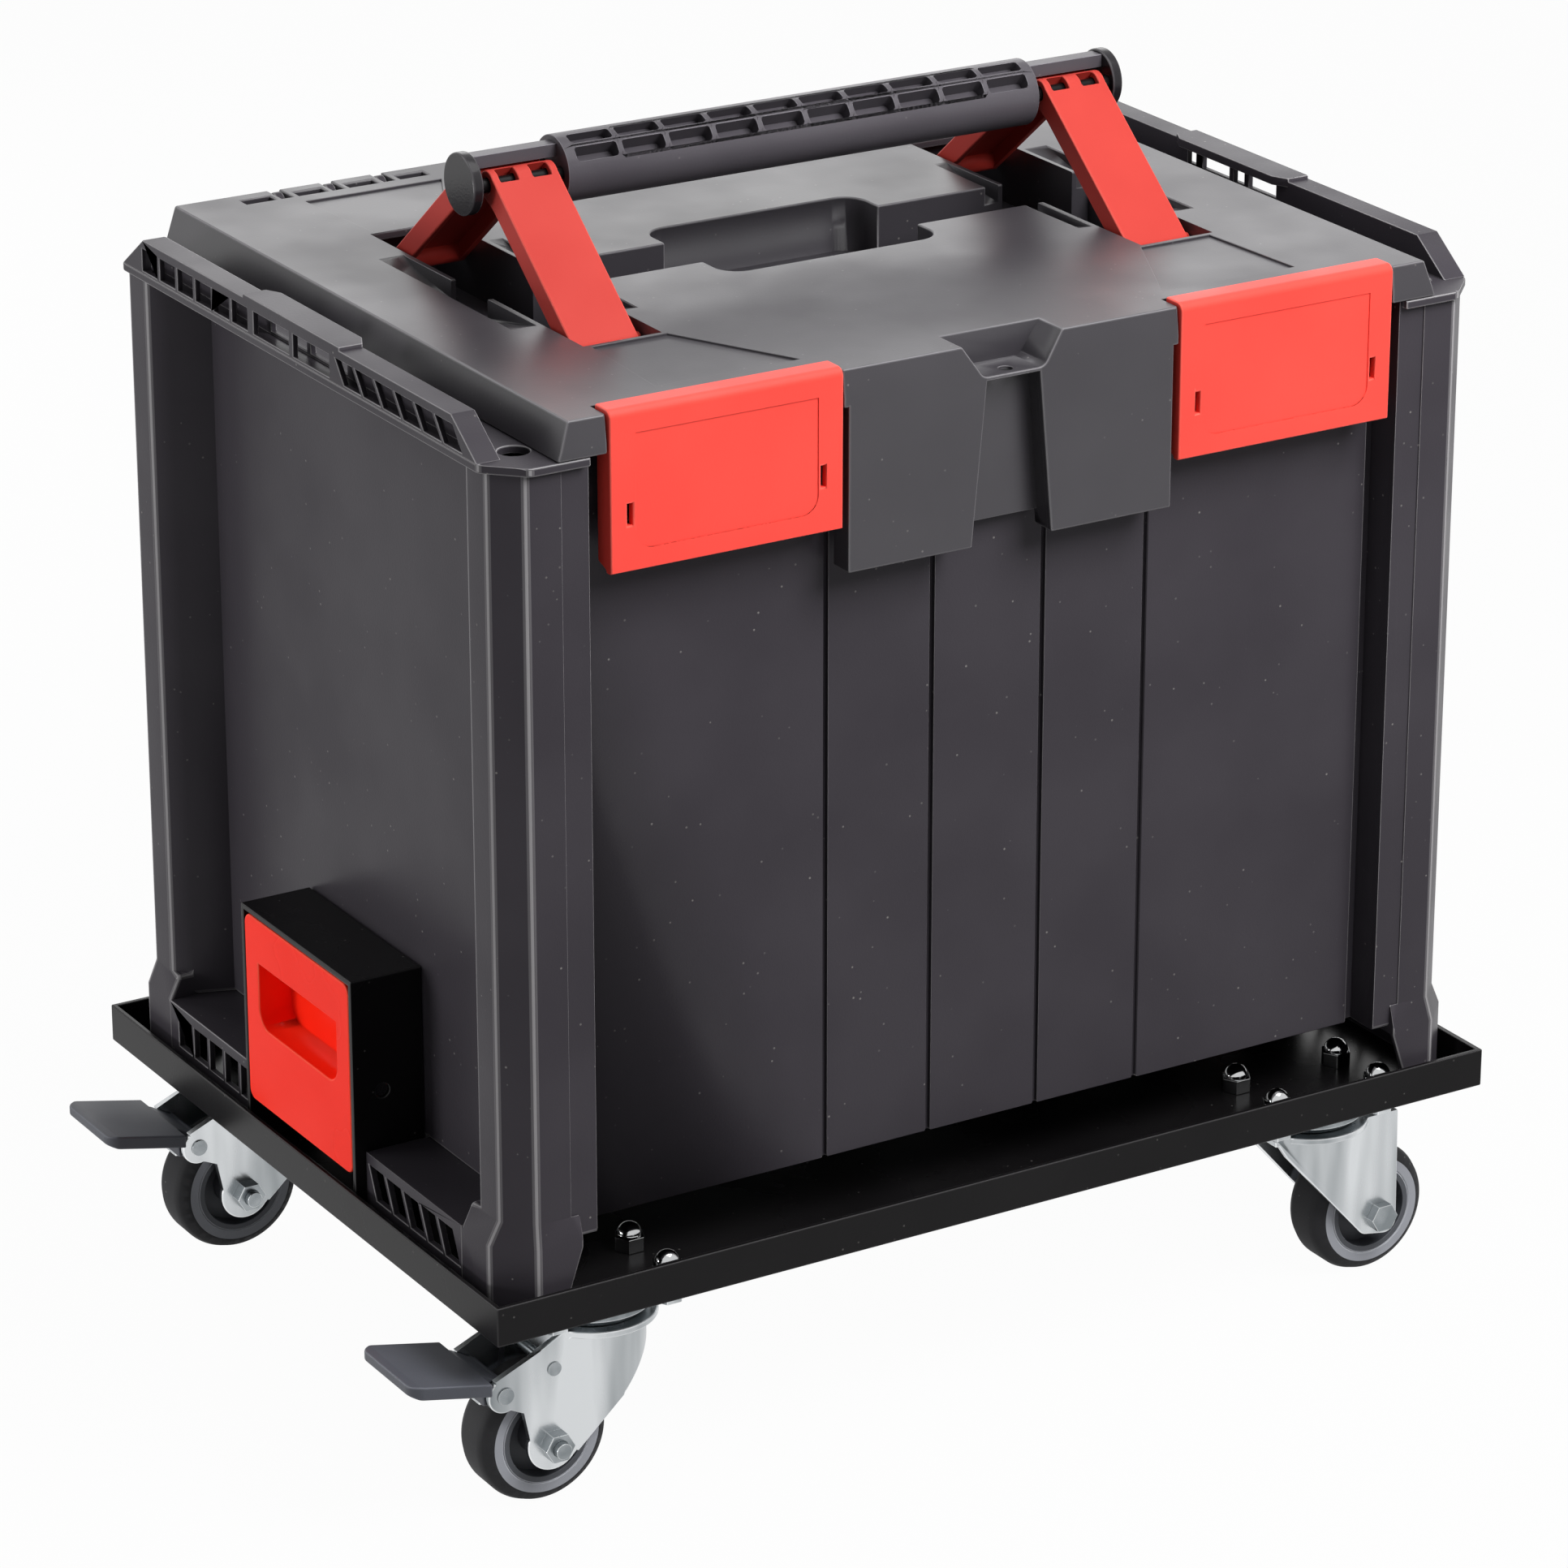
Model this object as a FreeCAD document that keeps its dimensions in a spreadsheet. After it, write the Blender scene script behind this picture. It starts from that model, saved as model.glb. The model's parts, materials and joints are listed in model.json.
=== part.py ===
import FreeCAD, Part
import os
import re
import Sketcher

# Driving dimensions, in millimetres and degrees.
# The case stands on a roller tray: heights of the case and the tray count from the tray's lower face,
# lengths run along X, depths along Y, and the middle of the case is the middle of the tray.
SIZES = {
    # one overrun and the clearances shared by all pieces
    "overrun": 2.0,
    "running_gap": 0.1,
    "seat_gap": 0.2,
    "side_gap": 0.5,
    # folded steel roller tray
    "tray_length": 412.6,
    "tray_depth": 298.5,
    "tray_lip": 14.3,
    "tray_sheet": 2.0,
    # swivel castors
    "castor_height": 74.0,
    "castor_left_edge": 51.8,
    "castor_right_edge": 59.3,
    "castor_front_edge": 27.25,
    "castor_rear_edge": 37.25,
    "castor_trail": 24.0,
    "castor_plate_length": 60.0,
    "castor_plate_width": 44.0,
    "castor_plate_sheet": 2.5,
    "castor_plate_round": 5.0,
    "bolt_pitch_x": 45.0,
    "bolt_pitch_y": 26.0,
    "bolt_diameter": 6.0,
    "bolt_clearance": 0.4,
    "bolt_head_width": 10.0,
    "bolt_head_height": 4.0,
    "cap_nut_width": 10.0,
    "cap_nut_hex_height": 5.5,
    "cap_nut_dome_radius": 4.6,
    "race_diameter": 42.0,
    "race_height": 5.5,
    "kingpin_diameter": 11.0,
    "kingpin_head_diameter": 18.0,
    "kingpin_head_height": 2.6,
    "fork_sheet": 2.5,
    "fork_inner_width": 25.0,
    "fork_crown_diameter": 46.0,
    "fork_axle_lobe_radius": 10.0,
    "fork_rivet_lobe_radius": 6.5,
    "fork_toe_round": 5.0,
    "wheel_diameter": 50.0,
    "tread_width": 20.0,
    "tread_shoulder": 4.5,
    "tread_seat_radius": 17.0,
    "hub_width": 22.0,
    "hub_boss_radius": 8.0,
    "hub_web": 7.0,
    "hub_rim_wall": 2.4,
    "axle_diameter": 6.0,
    "axle_head_width": 10.0,
    "axle_head_height": 4.0,
    "axle_nut_height": 5.0,
    "axle_end": 2.5,
    # brake pedals of the two left castors
    "pedal_rivet_x": 42.5,
    "pedal_rivet_z": 48.0,
    "pedal_rivet_diameter": 5.0,
    "stop_rivet_x": 23.5,
    "stop_rivet_z": 53.5,
    "stop_rivet_diameter": 4.0,
    "rivet_head_lip": 0.6,
    "rivet_head_height": 0.6,
    "pedal_reach": 38.0,
    "pedal_rise": 14.0,
    "pedal_heel": 3.0,
    "pedal_thickness": 5.0,
    "pedal_width": 38.0,
    "pedal_side_gap": 0.8,
    "pedal_boss_radius": 3.7,
    "pedal_lip": 3.5,
    "pedal_round": 5.0,
    "brake_strip_sheet": 1.0,
    "brake_strip_width": 16.0,
    "brake_strip_length": 6.5,
    # moulded tub of the case
    "tub_height": 304.4,
    "wall": 3.0,
    "wall_length": 350.8,
    "wall_depth": 258.0,
    "rim_length": 396.0,
    "rim_depth": 287.0,
    "rim_chamfer": 12.6,
    "rim_thickness": 3.0,
    "rim_front_recess": 10.5,
    "rim_front_recess_length": 326.0,
    "corner_socket_x": 361.6,
    "corner_socket_y": 248.0,
    "corner_socket_diameter": 10.8,
    "post_inset": 2.5,
    "post_chamfer": 9.5,
    "slot_inner_x": 158.5,
    "slot_depth": 2.5,
    "post_band_x": 162.3,
    "post_crease": 0.6,
    "post_step_x": 172.7,
    "post_side_y": 118.0,
    "post_heel": 6.0,
    "post_root_y": 107.0,
    "groove_outer_x": 65.0,
    "groove_inner_x": 22.5,
    "groove_width": 2.0,
    "groove_depth": 1.5,
    "foot_height": 26.5,
    "foot_length": 399.0,
    "foot_depth": 287.0,
    "foot_wall": 2.5,
    "foot_chamfer": 12.5,
    "foot_flare": 8.5,
    "foot_cutback": 8.0,
    "foot_end_y": 112.0,
    "foot_inner_x": 169.5,
    # ribbed foot runners and stacking rails
    "runner_seat": 7.0,
    "runner_window_count": 5.0,
    "runner_window_pitch": 12.6,
    "runner_window_width": 10.6,
    "runner_window_height": 12.0,
    "runner_window_top": 4.0,
    "rail_height": 12.4,
    "rail_width": 9.0,
    "rail_wall": 2.2,
    "rail_top_length": 227.0,
    "rail_foot_length": 261.0,
    "rail_window_count": 6.0,
    "rail_window_pitch": 14.0,
    "rail_window_width": 12.0,
    "rail_window_height": 8.0,
    "rail_through_length": 26.5,
    "rail_through_gap": 3.0,
    "catch_plate_length": 71.0,
    "catch_plate_width": 12.0,
    "catch_plate_rise": 1.2,
    "catch_plate_bevel": 6.0,
    # lid
    "lid_height": 13.3,
    "lid_top_length": 341.6,
    "lid_foot_length": 350.4,
    "lid_front_y": 143.5,
    "lid_rear_y": 143.3,
    "lid_plate": 3.0,
    "lid_wall": 3.0,
    "lid_front_bevel": 1.3,
    "lid_front_bevel_height": 9.7,
    "flap_length": 130.0,
    "flap_drop": 58.1,
    "flap_wall": 3.0,
    "flap_flange": 10.0,
    "flap_gap_foot": 32.0,
    "flap_gap_top": 21.0,
    "flap_gap_height": 58.0,
    "flap_back_rise": 6.0,
    "scoop_top_length": 40.0,
    "scoop_foot_length": 24.0,
    "scoop_depth": 11.7,
    "scoop_back_y": 128.0,
    "scoop_round": 4.0,
    "scoop_hole_diameter": 5.0,
    "scoop_hole_y": 138.0,
    "panel_outer_x": 125.0,
    "panel_inner_x": 96.0,
    "panel_back_y": 77.5,
    "panel_front_x": 72.7,
    "panel_front_y": 124.7,
    "panel_depth": 0.8,
    # lid hinge
    "hinge_y": 140.4,
    "hinge_drop": 3.7,
    "hinge_rod_diameter": 3.6,
    "hinge_chamfer": 1.6,
    "hinge_rod_length": 314.0,
    "loop_pitch": 20.7,
    "loop_count": 4.0,
    "loop_first_x": 152.0,
    "loop_gap": 4.4,
    "loop_wall": 2.4,
    "loop_front_y": 132.0,
    "loop_bar": 5.8,
    "hinge_lug_wall": 1.7,
    # latches
    "latch_centre_x": 111.9,
    "latch_length": 88.8,
    "latch_axis_y": 138.5,
    "latch_axis_drop": 5.2,
    "latch_face": 5.5,
    "latch_plate": 3.5,
    "latch_rise": 6.5,
    "latch_drop": 49.5,
    "latch_flange": 4.5,
    "latch_flange_plate": 2.0,
    "latch_side_wall": 2.5,
    "latch_side_depth": 9.0,
    "latch_round": 3.0,
    "latch_pin_diameter": 4.0,
    "latch_barrel_radius": 3.6,
    "latch_cheek": 4.5,
    "latch_recess_radius": 8.2,
    "latch_end_gap": 0.6,
    "latch_hook_height": 3.0,
    "latch_hook_lift": 3.5,
    "latch_hook_bite": 0.5,
    "latch_bead_gap": 4.0,
    "latch_bead_height": 4.0,
    "latch_bead_depth": 5.5,
    "latch_bead_length": 76.0,
    "latch_panel_depth": 0.4,
    "latch_panel_side": 9.6,
    "latch_panel_head": 8.7,
    "latch_panel_foot": 7.1,
    "latch_panel_round": 6.5,
    "latch_slot_side": 7.5,
    "latch_slot_width": 2.1,
    "latch_slot_length": 7.6,
    "latch_slot_lift": 19.5,
    # fold-down handle
    "handle_rise": 37.8,
    "handle_travel": 53.1,
    "grip_length": 192.0,
    "grip_diameter": 24.0,
    "grip_cell_count": 10.0,
    "grip_cell_rib": 2.2,
    "grip_cell_edge": 1.2,
    "grip_rib_y": 3.0,
    "grip_cell_reach": 9.6,
    "grip_cell_floor": 2.0,
    "grip_end_wall": 4.0,
    "spine_width": 6.0,
    "spine_foot": 5.2,
    "spine_top": 9.8,
    "spine_round": 1.8,
    "cap_diameter": 22.0,
    "cap_thickness": 4.0,
    "cap_face_x": 128.5,
    "cap_rod_depth": 2.5,
    "rod_diameter": 5.0,
    "rod_offset": 6.0,
    "arm_inner_x": 99.5,
    "arm_width": 25.5,
    "arm_length": 70.3,
    "arm_tilt": 39.4,
    "arm_top": 5.0,
    "arm_plate": 3.0,
    "arm_side_wall": 2.5,
    "arm_side_depth": 8.5,
    "arm_knuckle_radius": 5.2,
    "arm_foot_radius": 4.0,
    "arm_guide_radius": 2.5,
    "arm_guide_gap": 0.3,
    "arm_window_length": 7.0,
    "arm_window_height": 6.0,
    # recesses of the lid that take the folded handle
    "channel_gap": 1.0,
    "channel_floor_gap": 2.0,
    "channel_end_gap": 2.0,
    "recess_floor": 2.5,
    "recess_wall": 2.5,
    "pocket_gap": 2.4,
    "pocket_top_y": 76.0,
    "pocket_end_gap": 2.5,
    "pocket_floor_gap": 1.9,
    "well_length": 88.0,
    "well_width": 60.0,
    "well_depth": 20.0,
    "well_round": 9.0,
    "dip_inner_x": 90.0,
    "dip_outer_x": 139.0,
    "dip_depth": 7.0,
    "dip_reach": 48.0,
    "fin_thickness": 1.8,
    "fin_inner_y": 11.0,
    "fin_outer_y": 66.0,
    # locks that hold the case on the tray
    "lock_width": 84.0,
    "lock_height": 91.5,
    "lock_sheet": 2.0,
    "lock_outset": 28.1,
    "lock_wall_gap": 0.5,
    "lever_width": 79.0,
    "lever_foot_z": 19.0,
    "lever_top_gap": 0.5,
    "lever_plate": 3.5,
    "lever_round": 4.0,
    "lever_pivot_x": 16.6,
    "lever_pivot_z": 50.0,
    "lever_trunnion_diameter": 5.2,
    "lever_cheek": 3.0,
    "lever_cheek_radius": 7.0,
    "recess_length": 59.5,
    "recess_foot_z": 50.0,
    "recess_top_z": 74.0,
    "recess_depth": 13.0,
    "recess_sheet": 2.0,
    "recess_round": 7.0,
    "lever_trunnion_recess": 1.2,
    "nose_z": 78.0,
    "nose_height": 3.5,
    "nose_width": 30.0,
    "nose_bite": 3.0,
    "catch_depth": 6.0,
    "catch_height": 3.5,
}

# Places worked out from the sizes.
PLACES = {
    "rim_top": "tray_sheet + tub_height",
    "lid_foot": "rim_top + seat_gap",
    "lid_top": "rim_top + lid_height",
    "foot_top": "tray_sheet + foot_height",
    "post_x": "rim_length / 2 - post_inset",
    "post_y": "rim_depth / 2 - post_inset",
    "post_band_y": "post_y - post_crease",
    "rim_front_y": "rim_depth / 2 - rim_front_recess",
    "side_wall": "wall_length / 2",
    "front_wall": "wall_depth / 2",
    # the pedals of the left castors reach past the tray, so the case stands off the middle of the whole
    "pedal_tip": "castor_left_x + pedal_rivet_x + pedal_reach",
    "case_x": "(pedal_tip - tray_length / 2) / 2",
    # castors, counted from the floor
    "castor_left_x": "tray_length / 2 - castor_left_edge",
    "castor_right_x": "tray_length / 2 - castor_right_edge",
    "castor_front_y": "tray_depth / 2 - castor_front_edge",
    "castor_rear_y": "tray_depth / 2 - castor_rear_edge",
    "plate_foot": "castor_height - castor_plate_sheet",
    "fork_top": "plate_foot - race_height",
    "axle_z": "wheel_diameter / 2",
    "fork_face": "fork_inner_width / 2 + fork_sheet",
    # lid hinge and latches
    "hinge_z": "lid_top - hinge_drop",
    "latch_axis_z": "lid_top - latch_axis_drop",
    # handle
    "handle_z": "lid_top + handle_rise",
    "folded_z": "handle_z - handle_travel",
    "grip_radius": "grip_diameter / 2",
    "cap_end_x": "cap_face_x + cap_thickness",
    "rod_end_x": "cap_face_x + cap_rod_depth",
    "arm_middle_x": "arm_inner_x + arm_width / 2",
    "channel_y": "grip_radius + channel_gap",
    "channel_floor": "folded_z - grip_radius - channel_floor_gap",
    "channel_x": "cap_end_x + channel_end_gap",
    "pocket_inner_x": "arm_inner_x - pocket_gap",
    "pocket_outer_x": "arm_inner_x + arm_width + pocket_gap",
    "pocket_y": "rod_offset + arm_length + arm_foot_radius + pocket_end_gap",
    "pocket_floor": "folded_z - arm_knuckle_radius - pocket_floor_gap",
    "well_floor": "lid_top - well_depth",
    "dip_radius": "(dip_reach * dip_reach + dip_depth * dip_depth) / (2 * dip_depth)",
    # locks
    "lock_face": "side_wall + lock_outset",
    "lock_top": "tray_sheet + lock_height",
    "lock_back": "side_wall + lock_wall_gap",
    "lever_x": "side_wall + lever_pivot_x",
    "runner_y": "lock_width / 2 + side_gap",
}

# Outlines of a fork's cheek: shares of the trail (backwards) and of the fork's height (upwards).
BRAKED_FORK_SHARES = (
    (-0.175, 1.00), (-0.175, 0.556), (0.60, 0.30), (1.38, 0.42), (1.48, 0.60),
    (1.72, 0.64), (1.93, 0.82), (1.20, 0.94), (0.86, 1.00),
)
FORK_NOSE_SHARE = 0.84
PLAIN_FORK_SHARES = ((-1.00, 1.00), (-0.78, 0.88), (0.70, 0.28), (1.34, 0.24), (1.30, 1.00))

SIDES = (("left", -1), ("right", 1))

doc = FreeCAD.newDocument("toolbox")
sheet = doc.addObject("Spreadsheet::Sheet", "sizes")
for row, (alias, value) in enumerate(SIZES.items(), start=1):
    sheet.set(f"A{row}", alias)
    sheet.set(f"B{row}", str(value))
    sheet.setAlias(f"B{row}", alias)
doc.recompute()


def formula(text):
    """Write a sum of size and place names as an expression on the sheet."""
    def swap(match):
        word = match.group(0)
        if word in PLACES:
            return "(" + formula(PLACES[word]) + ")"
        return "sizes." + word if word in SIZES else word
    return re.sub(r"[a-z_][a-z_0-9]*", swap, str(text))


def number(text):
    """The value, in millimetres or degrees, of a sum of size and place names."""
    return float(sheet.evalExpression(formula(text)))


def minus(text):
    return f"-({text})"


def signed(sign, text):
    return text if sign > 0 else minus(text)


def rectangle(x_low, y_low, x_high, y_high):
    """Corners of a rectangle."""
    return ((x_low, y_low), (x_high, y_low), (x_high, y_high), (x_low, y_high))


def centred(length, low, high):
    """Corners of a rectangle that is centred across its first direction."""
    return rectangle(f"-({length}) / 2", low, f"({length}) / 2", high)


def four_corners(points):
    """A closed outline from one corner's points, listed from the front wall round to the side wall."""
    outline = []
    for sign_x, sign_y in ((1, -1), (1, 1), (-1, 1), (-1, -1)):
        corner = [(signed(sign_x, x), signed(sign_y, y)) for x, y in points]
        outline += corner if sign_x * sign_y < 0 else corner[::-1]
    return outline


PLANES = {"x": "YZ_Plane", "y": "XZ_Plane", "z": "XY_Plane"}
PIECES = []


class Piece:
    """One moulded, stamped or turned piece: a body whose sketches are bound to the sheet.

    An outline that runs along x is drawn in (y, z), along y in (x, z) and along z in (x, y).
    """

    def __init__(self, label, at=("0", "0", "castor_height"), turn="0", turn_axis=(0, 0, 1)):
        self.body = doc.addObject("PartDesign::Body", label)
        self.body.Label = label
        self.body.Placement.Rotation = FreeCAD.Rotation(FreeCAD.Vector(*turn_axis), 1)
        self.body.setExpression("Placement.Rotation.Angle", formula(turn))
        for axis, place in zip("xyz", (f"case_x + ({at[0]})", at[1], at[2])):
            self.body.setExpression(f"Placement.Base.{axis}", formula(place))
        PIECES.append(self.body)

    def sketch(self, axis, level):
        """An empty sketch square to an axis, at a level along it."""
        sketch = self.body.newObject("Sketcher::SketchObject", self.body.Name + "_sketch")
        role = PLANES[axis]
        plane = next(item for item in self.body.Origin.OriginFeatures if item.Role == role)
        sketch.AttachmentSupport = [(plane, "")]
        sketch.MapMode = "FlatFace"
        height = minus(level) if axis == "y" else level
        sketch.setExpression("AttachmentOffset.Base.z", formula(height))
        return sketch

    def hold(self, sketch, geometry, point, place):
        """Tie a point of a sketch to its place from the origin."""
        for kind, text in zip(("DistanceX", "DistanceY"), place):
            index = sketch.addConstraint(Sketcher.Constraint(kind, -1, 1, geometry, point, number(text)))
            sketch.setExpression(f"Constraints[{index}]", formula(text))

    def draw(self, sketch, points):
        """Draw a closed outline of straight lines."""
        places = [FreeCAD.Vector(number(x), number(y), 0) for x, y in points]
        first = sketch.GeometryCount
        for start, end in zip(places, places[1:] + places[:1]):
            sketch.addGeometry(Part.LineSegment(start, end))
        count = len(points)
        for index, place in enumerate(points):
            after = first + (index + 1) % count
            sketch.addConstraint(Sketcher.Constraint("Coincident", first + index, 2, after, 1))
        for index, place in enumerate(points):
            self.hold(sketch, first + index, 1, place)

    def draw_circle(self, sketch, centre, radius):
        """Draw a circle."""
        middle = FreeCAD.Vector(number(centre[0]), number(centre[1]), 0)
        index = sketch.addGeometry(Part.Circle(middle, FreeCAD.Vector(0, 0, 1), number(radius)))
        self.hold(sketch, index, 3, centre)
        size = sketch.addConstraint(Sketcher.Constraint("Radius", index, number(radius)))
        sketch.setExpression(f"Constraints[{size}]", formula(radius))

    def extrude(self, kind, sketch, axis, low, high):
        """Run a sketch along its axis from its level to a higher one."""
        feature = self.body.newObject("PartDesign::" + kind, f"{self.body.Name}_{kind.lower()}")
        feature.Profile = sketch
        feature.Reversed = (axis == "y") == (kind == "Pad")
        feature.setExpression("Length", formula(f"({high}) - ({low})"))
        return feature

    def add_all(self, axis, outlines, low, high):
        """Add prisms that stand apart from each other between the same levels."""
        sketch = self.sketch(axis, low)
        for points in outlines:
            self.draw(sketch, points)
        return self.extrude("Pad", sketch, axis, low, high)

    def cut_all(self, axis, outlines, low, high):
        """Cut prisms away that stand apart from each other between the same levels."""
        sketch = self.sketch(axis, low)
        for points in outlines:
            self.draw(sketch, points)
        return self.extrude("Pocket", sketch, axis, low, high)

    def add(self, axis, points, low, high):
        """Add a prism."""
        return self.add_all(axis, [points], low, high)

    def cut(self, axis, points, low, high):
        """Cut a prism away."""
        return self.cut_all(axis, [points], low, high)

    def add_round(self, axis, centre, radius, low, high):
        """Add a cylinder."""
        sketch = self.sketch(axis, low)
        self.draw_circle(sketch, centre, radius)
        return self.extrude("Pad", sketch, axis, low, high)

    def cut_round(self, axis, centres, radius, low, high):
        """Cut one or more round holes."""
        sketch = self.sketch(axis, low)
        for centre in centres:
            self.draw_circle(sketch, centre, radius)
        return self.extrude("Pocket", sketch, axis, low, high)

    def turn(self, axis, points):
        """Turn an outline, drawn as (along, radius) for x and as (radius, along) for y and z."""
        sketch = self.sketch("y" if axis == "z" else "z", "0")
        self.draw(sketch, points)
        feature = self.body.newObject("PartDesign::Revolution", self.body.Name + "_turned")
        feature.Profile = sketch
        feature.ReferenceAxis = (sketch, ["H_Axis" if axis == "x" else "V_Axis"])
        feature.Angle = 360
        return feature

    def loft(self, low_points, low, high_points, high):
        """Add a straight loft between two outlines with as many corners each."""
        sketches = []
        for points, level in ((low_points, low), (high_points, high)):
            sketch = self.sketch("z", level)
            self.draw(sketch, points)
            sketches.append(sketch)
        feature = self.body.newObject("PartDesign::AdditiveLoft", self.body.Name + "_loft")
        feature.Profile = sketches[0]
        feature.Sections = sketches[1:]
        feature.Ruled = True
        return feature

    def repeat(self, feature, direction, length, count):
        """Repeat a feature in a row."""
        pattern = self.body.newObject("PartDesign::LinearPattern", self.body.Name + "_row")
        pattern.Originals = [feature]
        pattern.Direction = (feature.Profile[0], [direction])
        pattern.setExpression("Length", formula(length))
        pattern.setExpression("Occurrences", formula(count))
        self.body.Tip = pattern
        return pattern

    def round_edges(self, axis, corners, radius):
        """Round the edges that run along an axis through the given corners."""
        doc.recompute()
        across = [index for index, name in enumerate("xyz") if name != axis]
        along = "xyz".index(axis)
        wanted = [(number(first), number(second)) for first, second in corners]
        tip = self.body.Tip
        names = []
        for index, edge in enumerate(tip.Shape.Edges, start=1):
            ends = [vertex.Point for vertex in edge.Vertexes]
            if len(ends) != 2 or not isinstance(edge.Curve, Part.Line):
                continue
            step = ends[1] - ends[0]
            if abs(step[along]) < step.Length * 0.999:
                continue
            place = [ends[0][item] for item in across]
            if any(abs(place[0] - x) < 1e-4 and abs(place[1] - y) < 1e-4 for x, y in wanted):
                names.append(f"Edge{index}")
        fillet = self.body.newObject("PartDesign::Fillet", self.body.Name + "_fillet")
        fillet.Base = (tip, names)
        fillet.setExpression("Radius", formula(radius))
        return fillet


def group(label, solids):
    """Like pieces that share one node."""
    compound = doc.addObject("Part::Compound", label)
    compound.Label = label
    compound.Links = solids
    PIECES.append(compound)


def rod(name, axis, place, diameter, length):
    """A plain round rod from a place along an axis."""
    turns = {"x": FreeCAD.Rotation(FreeCAD.Vector(0, 1, 0), 90),
             "y": FreeCAD.Rotation(FreeCAD.Vector(1, 0, 0), -90),
             "z": FreeCAD.Rotation()}
    cylinder = doc.addObject("Part::Cylinder", name)
    cylinder.Placement.Rotation = turns[axis]
    cylinder.setExpression("Radius", formula(f"({diameter}) / 2"))
    cylinder.setExpression("Height", formula(length))
    for letter, text in zip("xyz", (f"case_x + ({place[0]})", place[1], place[2])):
        cylinder.setExpression(f"Placement.Base.{letter}", formula(text))
    return cylinder


def hexagon(name, axis, place, width, length):
    """A hexagonal head or nut from a place along an axis."""
    prism = doc.addObject("Part::Prism", name)
    prism.Polygon = 6
    turns = {"y": FreeCAD.Rotation(FreeCAD.Vector(1, 0, 0), -90), "z": FreeCAD.Rotation()}
    prism.Placement.Rotation = turns[axis]
    prism.setExpression("Circumradius", formula(f"({width}) / 2 / cos(30)"))
    prism.setExpression("Height", formula(length))
    for letter, text in zip("xyz", (f"case_x + ({place[0]})", place[1], place[2])):
        prism.setExpression(f"Placement.Base.{letter}", formula(text))
    return prism


def joined(name, solids):
    """Solids fused into one."""
    fusion = doc.addObject("Part::MultiFuse", name)
    fusion.Shapes = solids
    fusion.Refine = True
    return fusion


def bored(name, solid, tool):
    """A solid with a tool cut away."""
    result = doc.addObject("Part::Cut", name)
    result.Base = solid
    result.Tool = tool
    result.Refine = True
    return result


# Tub of the case: thin walls between four hollow corner posts under a flat rim.
# A slot sets each post off from the panels.
def make_tub():
    tub = Piece("case_tub")
    outer = four_corners((
        ("slot_inner_x", "front_wall"),
        ("slot_inner_x", "front_wall - slot_depth"),
        ("post_band_x", "front_wall - slot_depth"),
        ("post_band_x", "post_band_y"),
        ("post_step_x", "post_band_y"),
        ("post_step_x", "post_y"),
        ("post_x - post_chamfer", "post_y"),
        ("post_x", "post_y - post_chamfer"),
        ("post_x", "post_side_y"),
        ("post_x - post_heel", "post_side_y - post_heel"),
        ("side_wall", "post_root_y"),
    ))
    inner = four_corners((
        ("slot_inner_x - wall", "front_wall - wall"),
        ("slot_inner_x - wall", "front_wall - slot_depth - wall"),
        ("post_band_x + wall", "front_wall - slot_depth - wall"),
        ("post_band_x + wall", "post_band_y - wall"),
        ("post_step_x + wall", "post_band_y - wall"),
        ("post_step_x + wall", "post_y - wall"),
        ("post_x - post_chamfer - wall / 2", "post_y - wall"),
        ("post_x - wall", "post_y - post_chamfer - wall / 2"),
        ("post_x - wall", "post_side_y + wall / 2"),
        ("post_x - post_heel - wall / 2", "post_side_y - post_heel + wall"),
        ("side_wall - wall", "post_root_y + wall"),
    ))
    tub.add("z", outer, "foot_top", "rim_top")
    half = "rim_length / 2"
    deep = "rim_depth / 2"
    mouth = "rim_front_recess_length / 2"
    tub.add("z", (
        (minus(half), f"-({deep} - rim_chamfer)"), (f"-({half} - rim_chamfer)", minus(deep)),
        (minus(mouth), minus(deep)), (minus(mouth), "-rim_front_y"),
        (mouth, "-rim_front_y"), (mouth, minus(deep)),
        (f"{half} - rim_chamfer", minus(deep)), (half, f"-({deep} - rim_chamfer)"),
        (half, f"{deep} - rim_chamfer"), (f"{half} - rim_chamfer", deep),
        (f"-({half} - rim_chamfer)", deep), (minus(half), f"{deep} - rim_chamfer"),
    ), "rim_top - rim_thickness", "rim_top")
    make_feet(tub)
    tub.cut("z", inner, "foot_top + wall", "rim_top - rim_thickness")
    tub.cut("z", centred("2 * (side_wall - wall)", "-(front_wall - wall)", "front_wall - wall"),
            "rim_top - rim_thickness", "rim_top + overrun")
    sockets = [(f"{sign_x} * corner_socket_x / 2", f"{sign_y} * corner_socket_y / 2")
               for sign_x in (-1, 1) for sign_y in (-1, 1)]
    tub.cut_round("z", sockets, "corner_socket_diameter / 2", "rim_top - rim_thickness - overrun",
                  "rim_top + overrun")
    grooves = []
    for sign in (-1, 1):
        face = signed(sign, "front_wall")
        low, high = sorted((face, f"{face} - {sign} * groove_depth"), key=number)
        for middle in ("groove_outer_x", "groove_inner_x", "-groove_outer_x", "-groove_inner_x"):
            grooves.append(rectangle(f"{middle} - groove_width / 2", low, f"{middle} + groove_width / 2",
                                     high))
    tub.cut_all("z", grooves, "foot_top - overrun", "rim_top - rim_thickness")
    make_latch_beads(tub)
    make_hinge_lugs(tub)
    ribs = []
    for sign in (-1, 1):
        wall, edge = sorted((signed(sign, "side_wall"), signed(sign, "side_wall + catch_depth")), key=number)
        ribs.append(rectangle(wall, "nose_z - catch_height - seat_gap", edge, "nose_z - seat_gap"))
    tub.add_all("y", ribs, "-nose_width / 2", "nose_width / 2")


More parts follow.
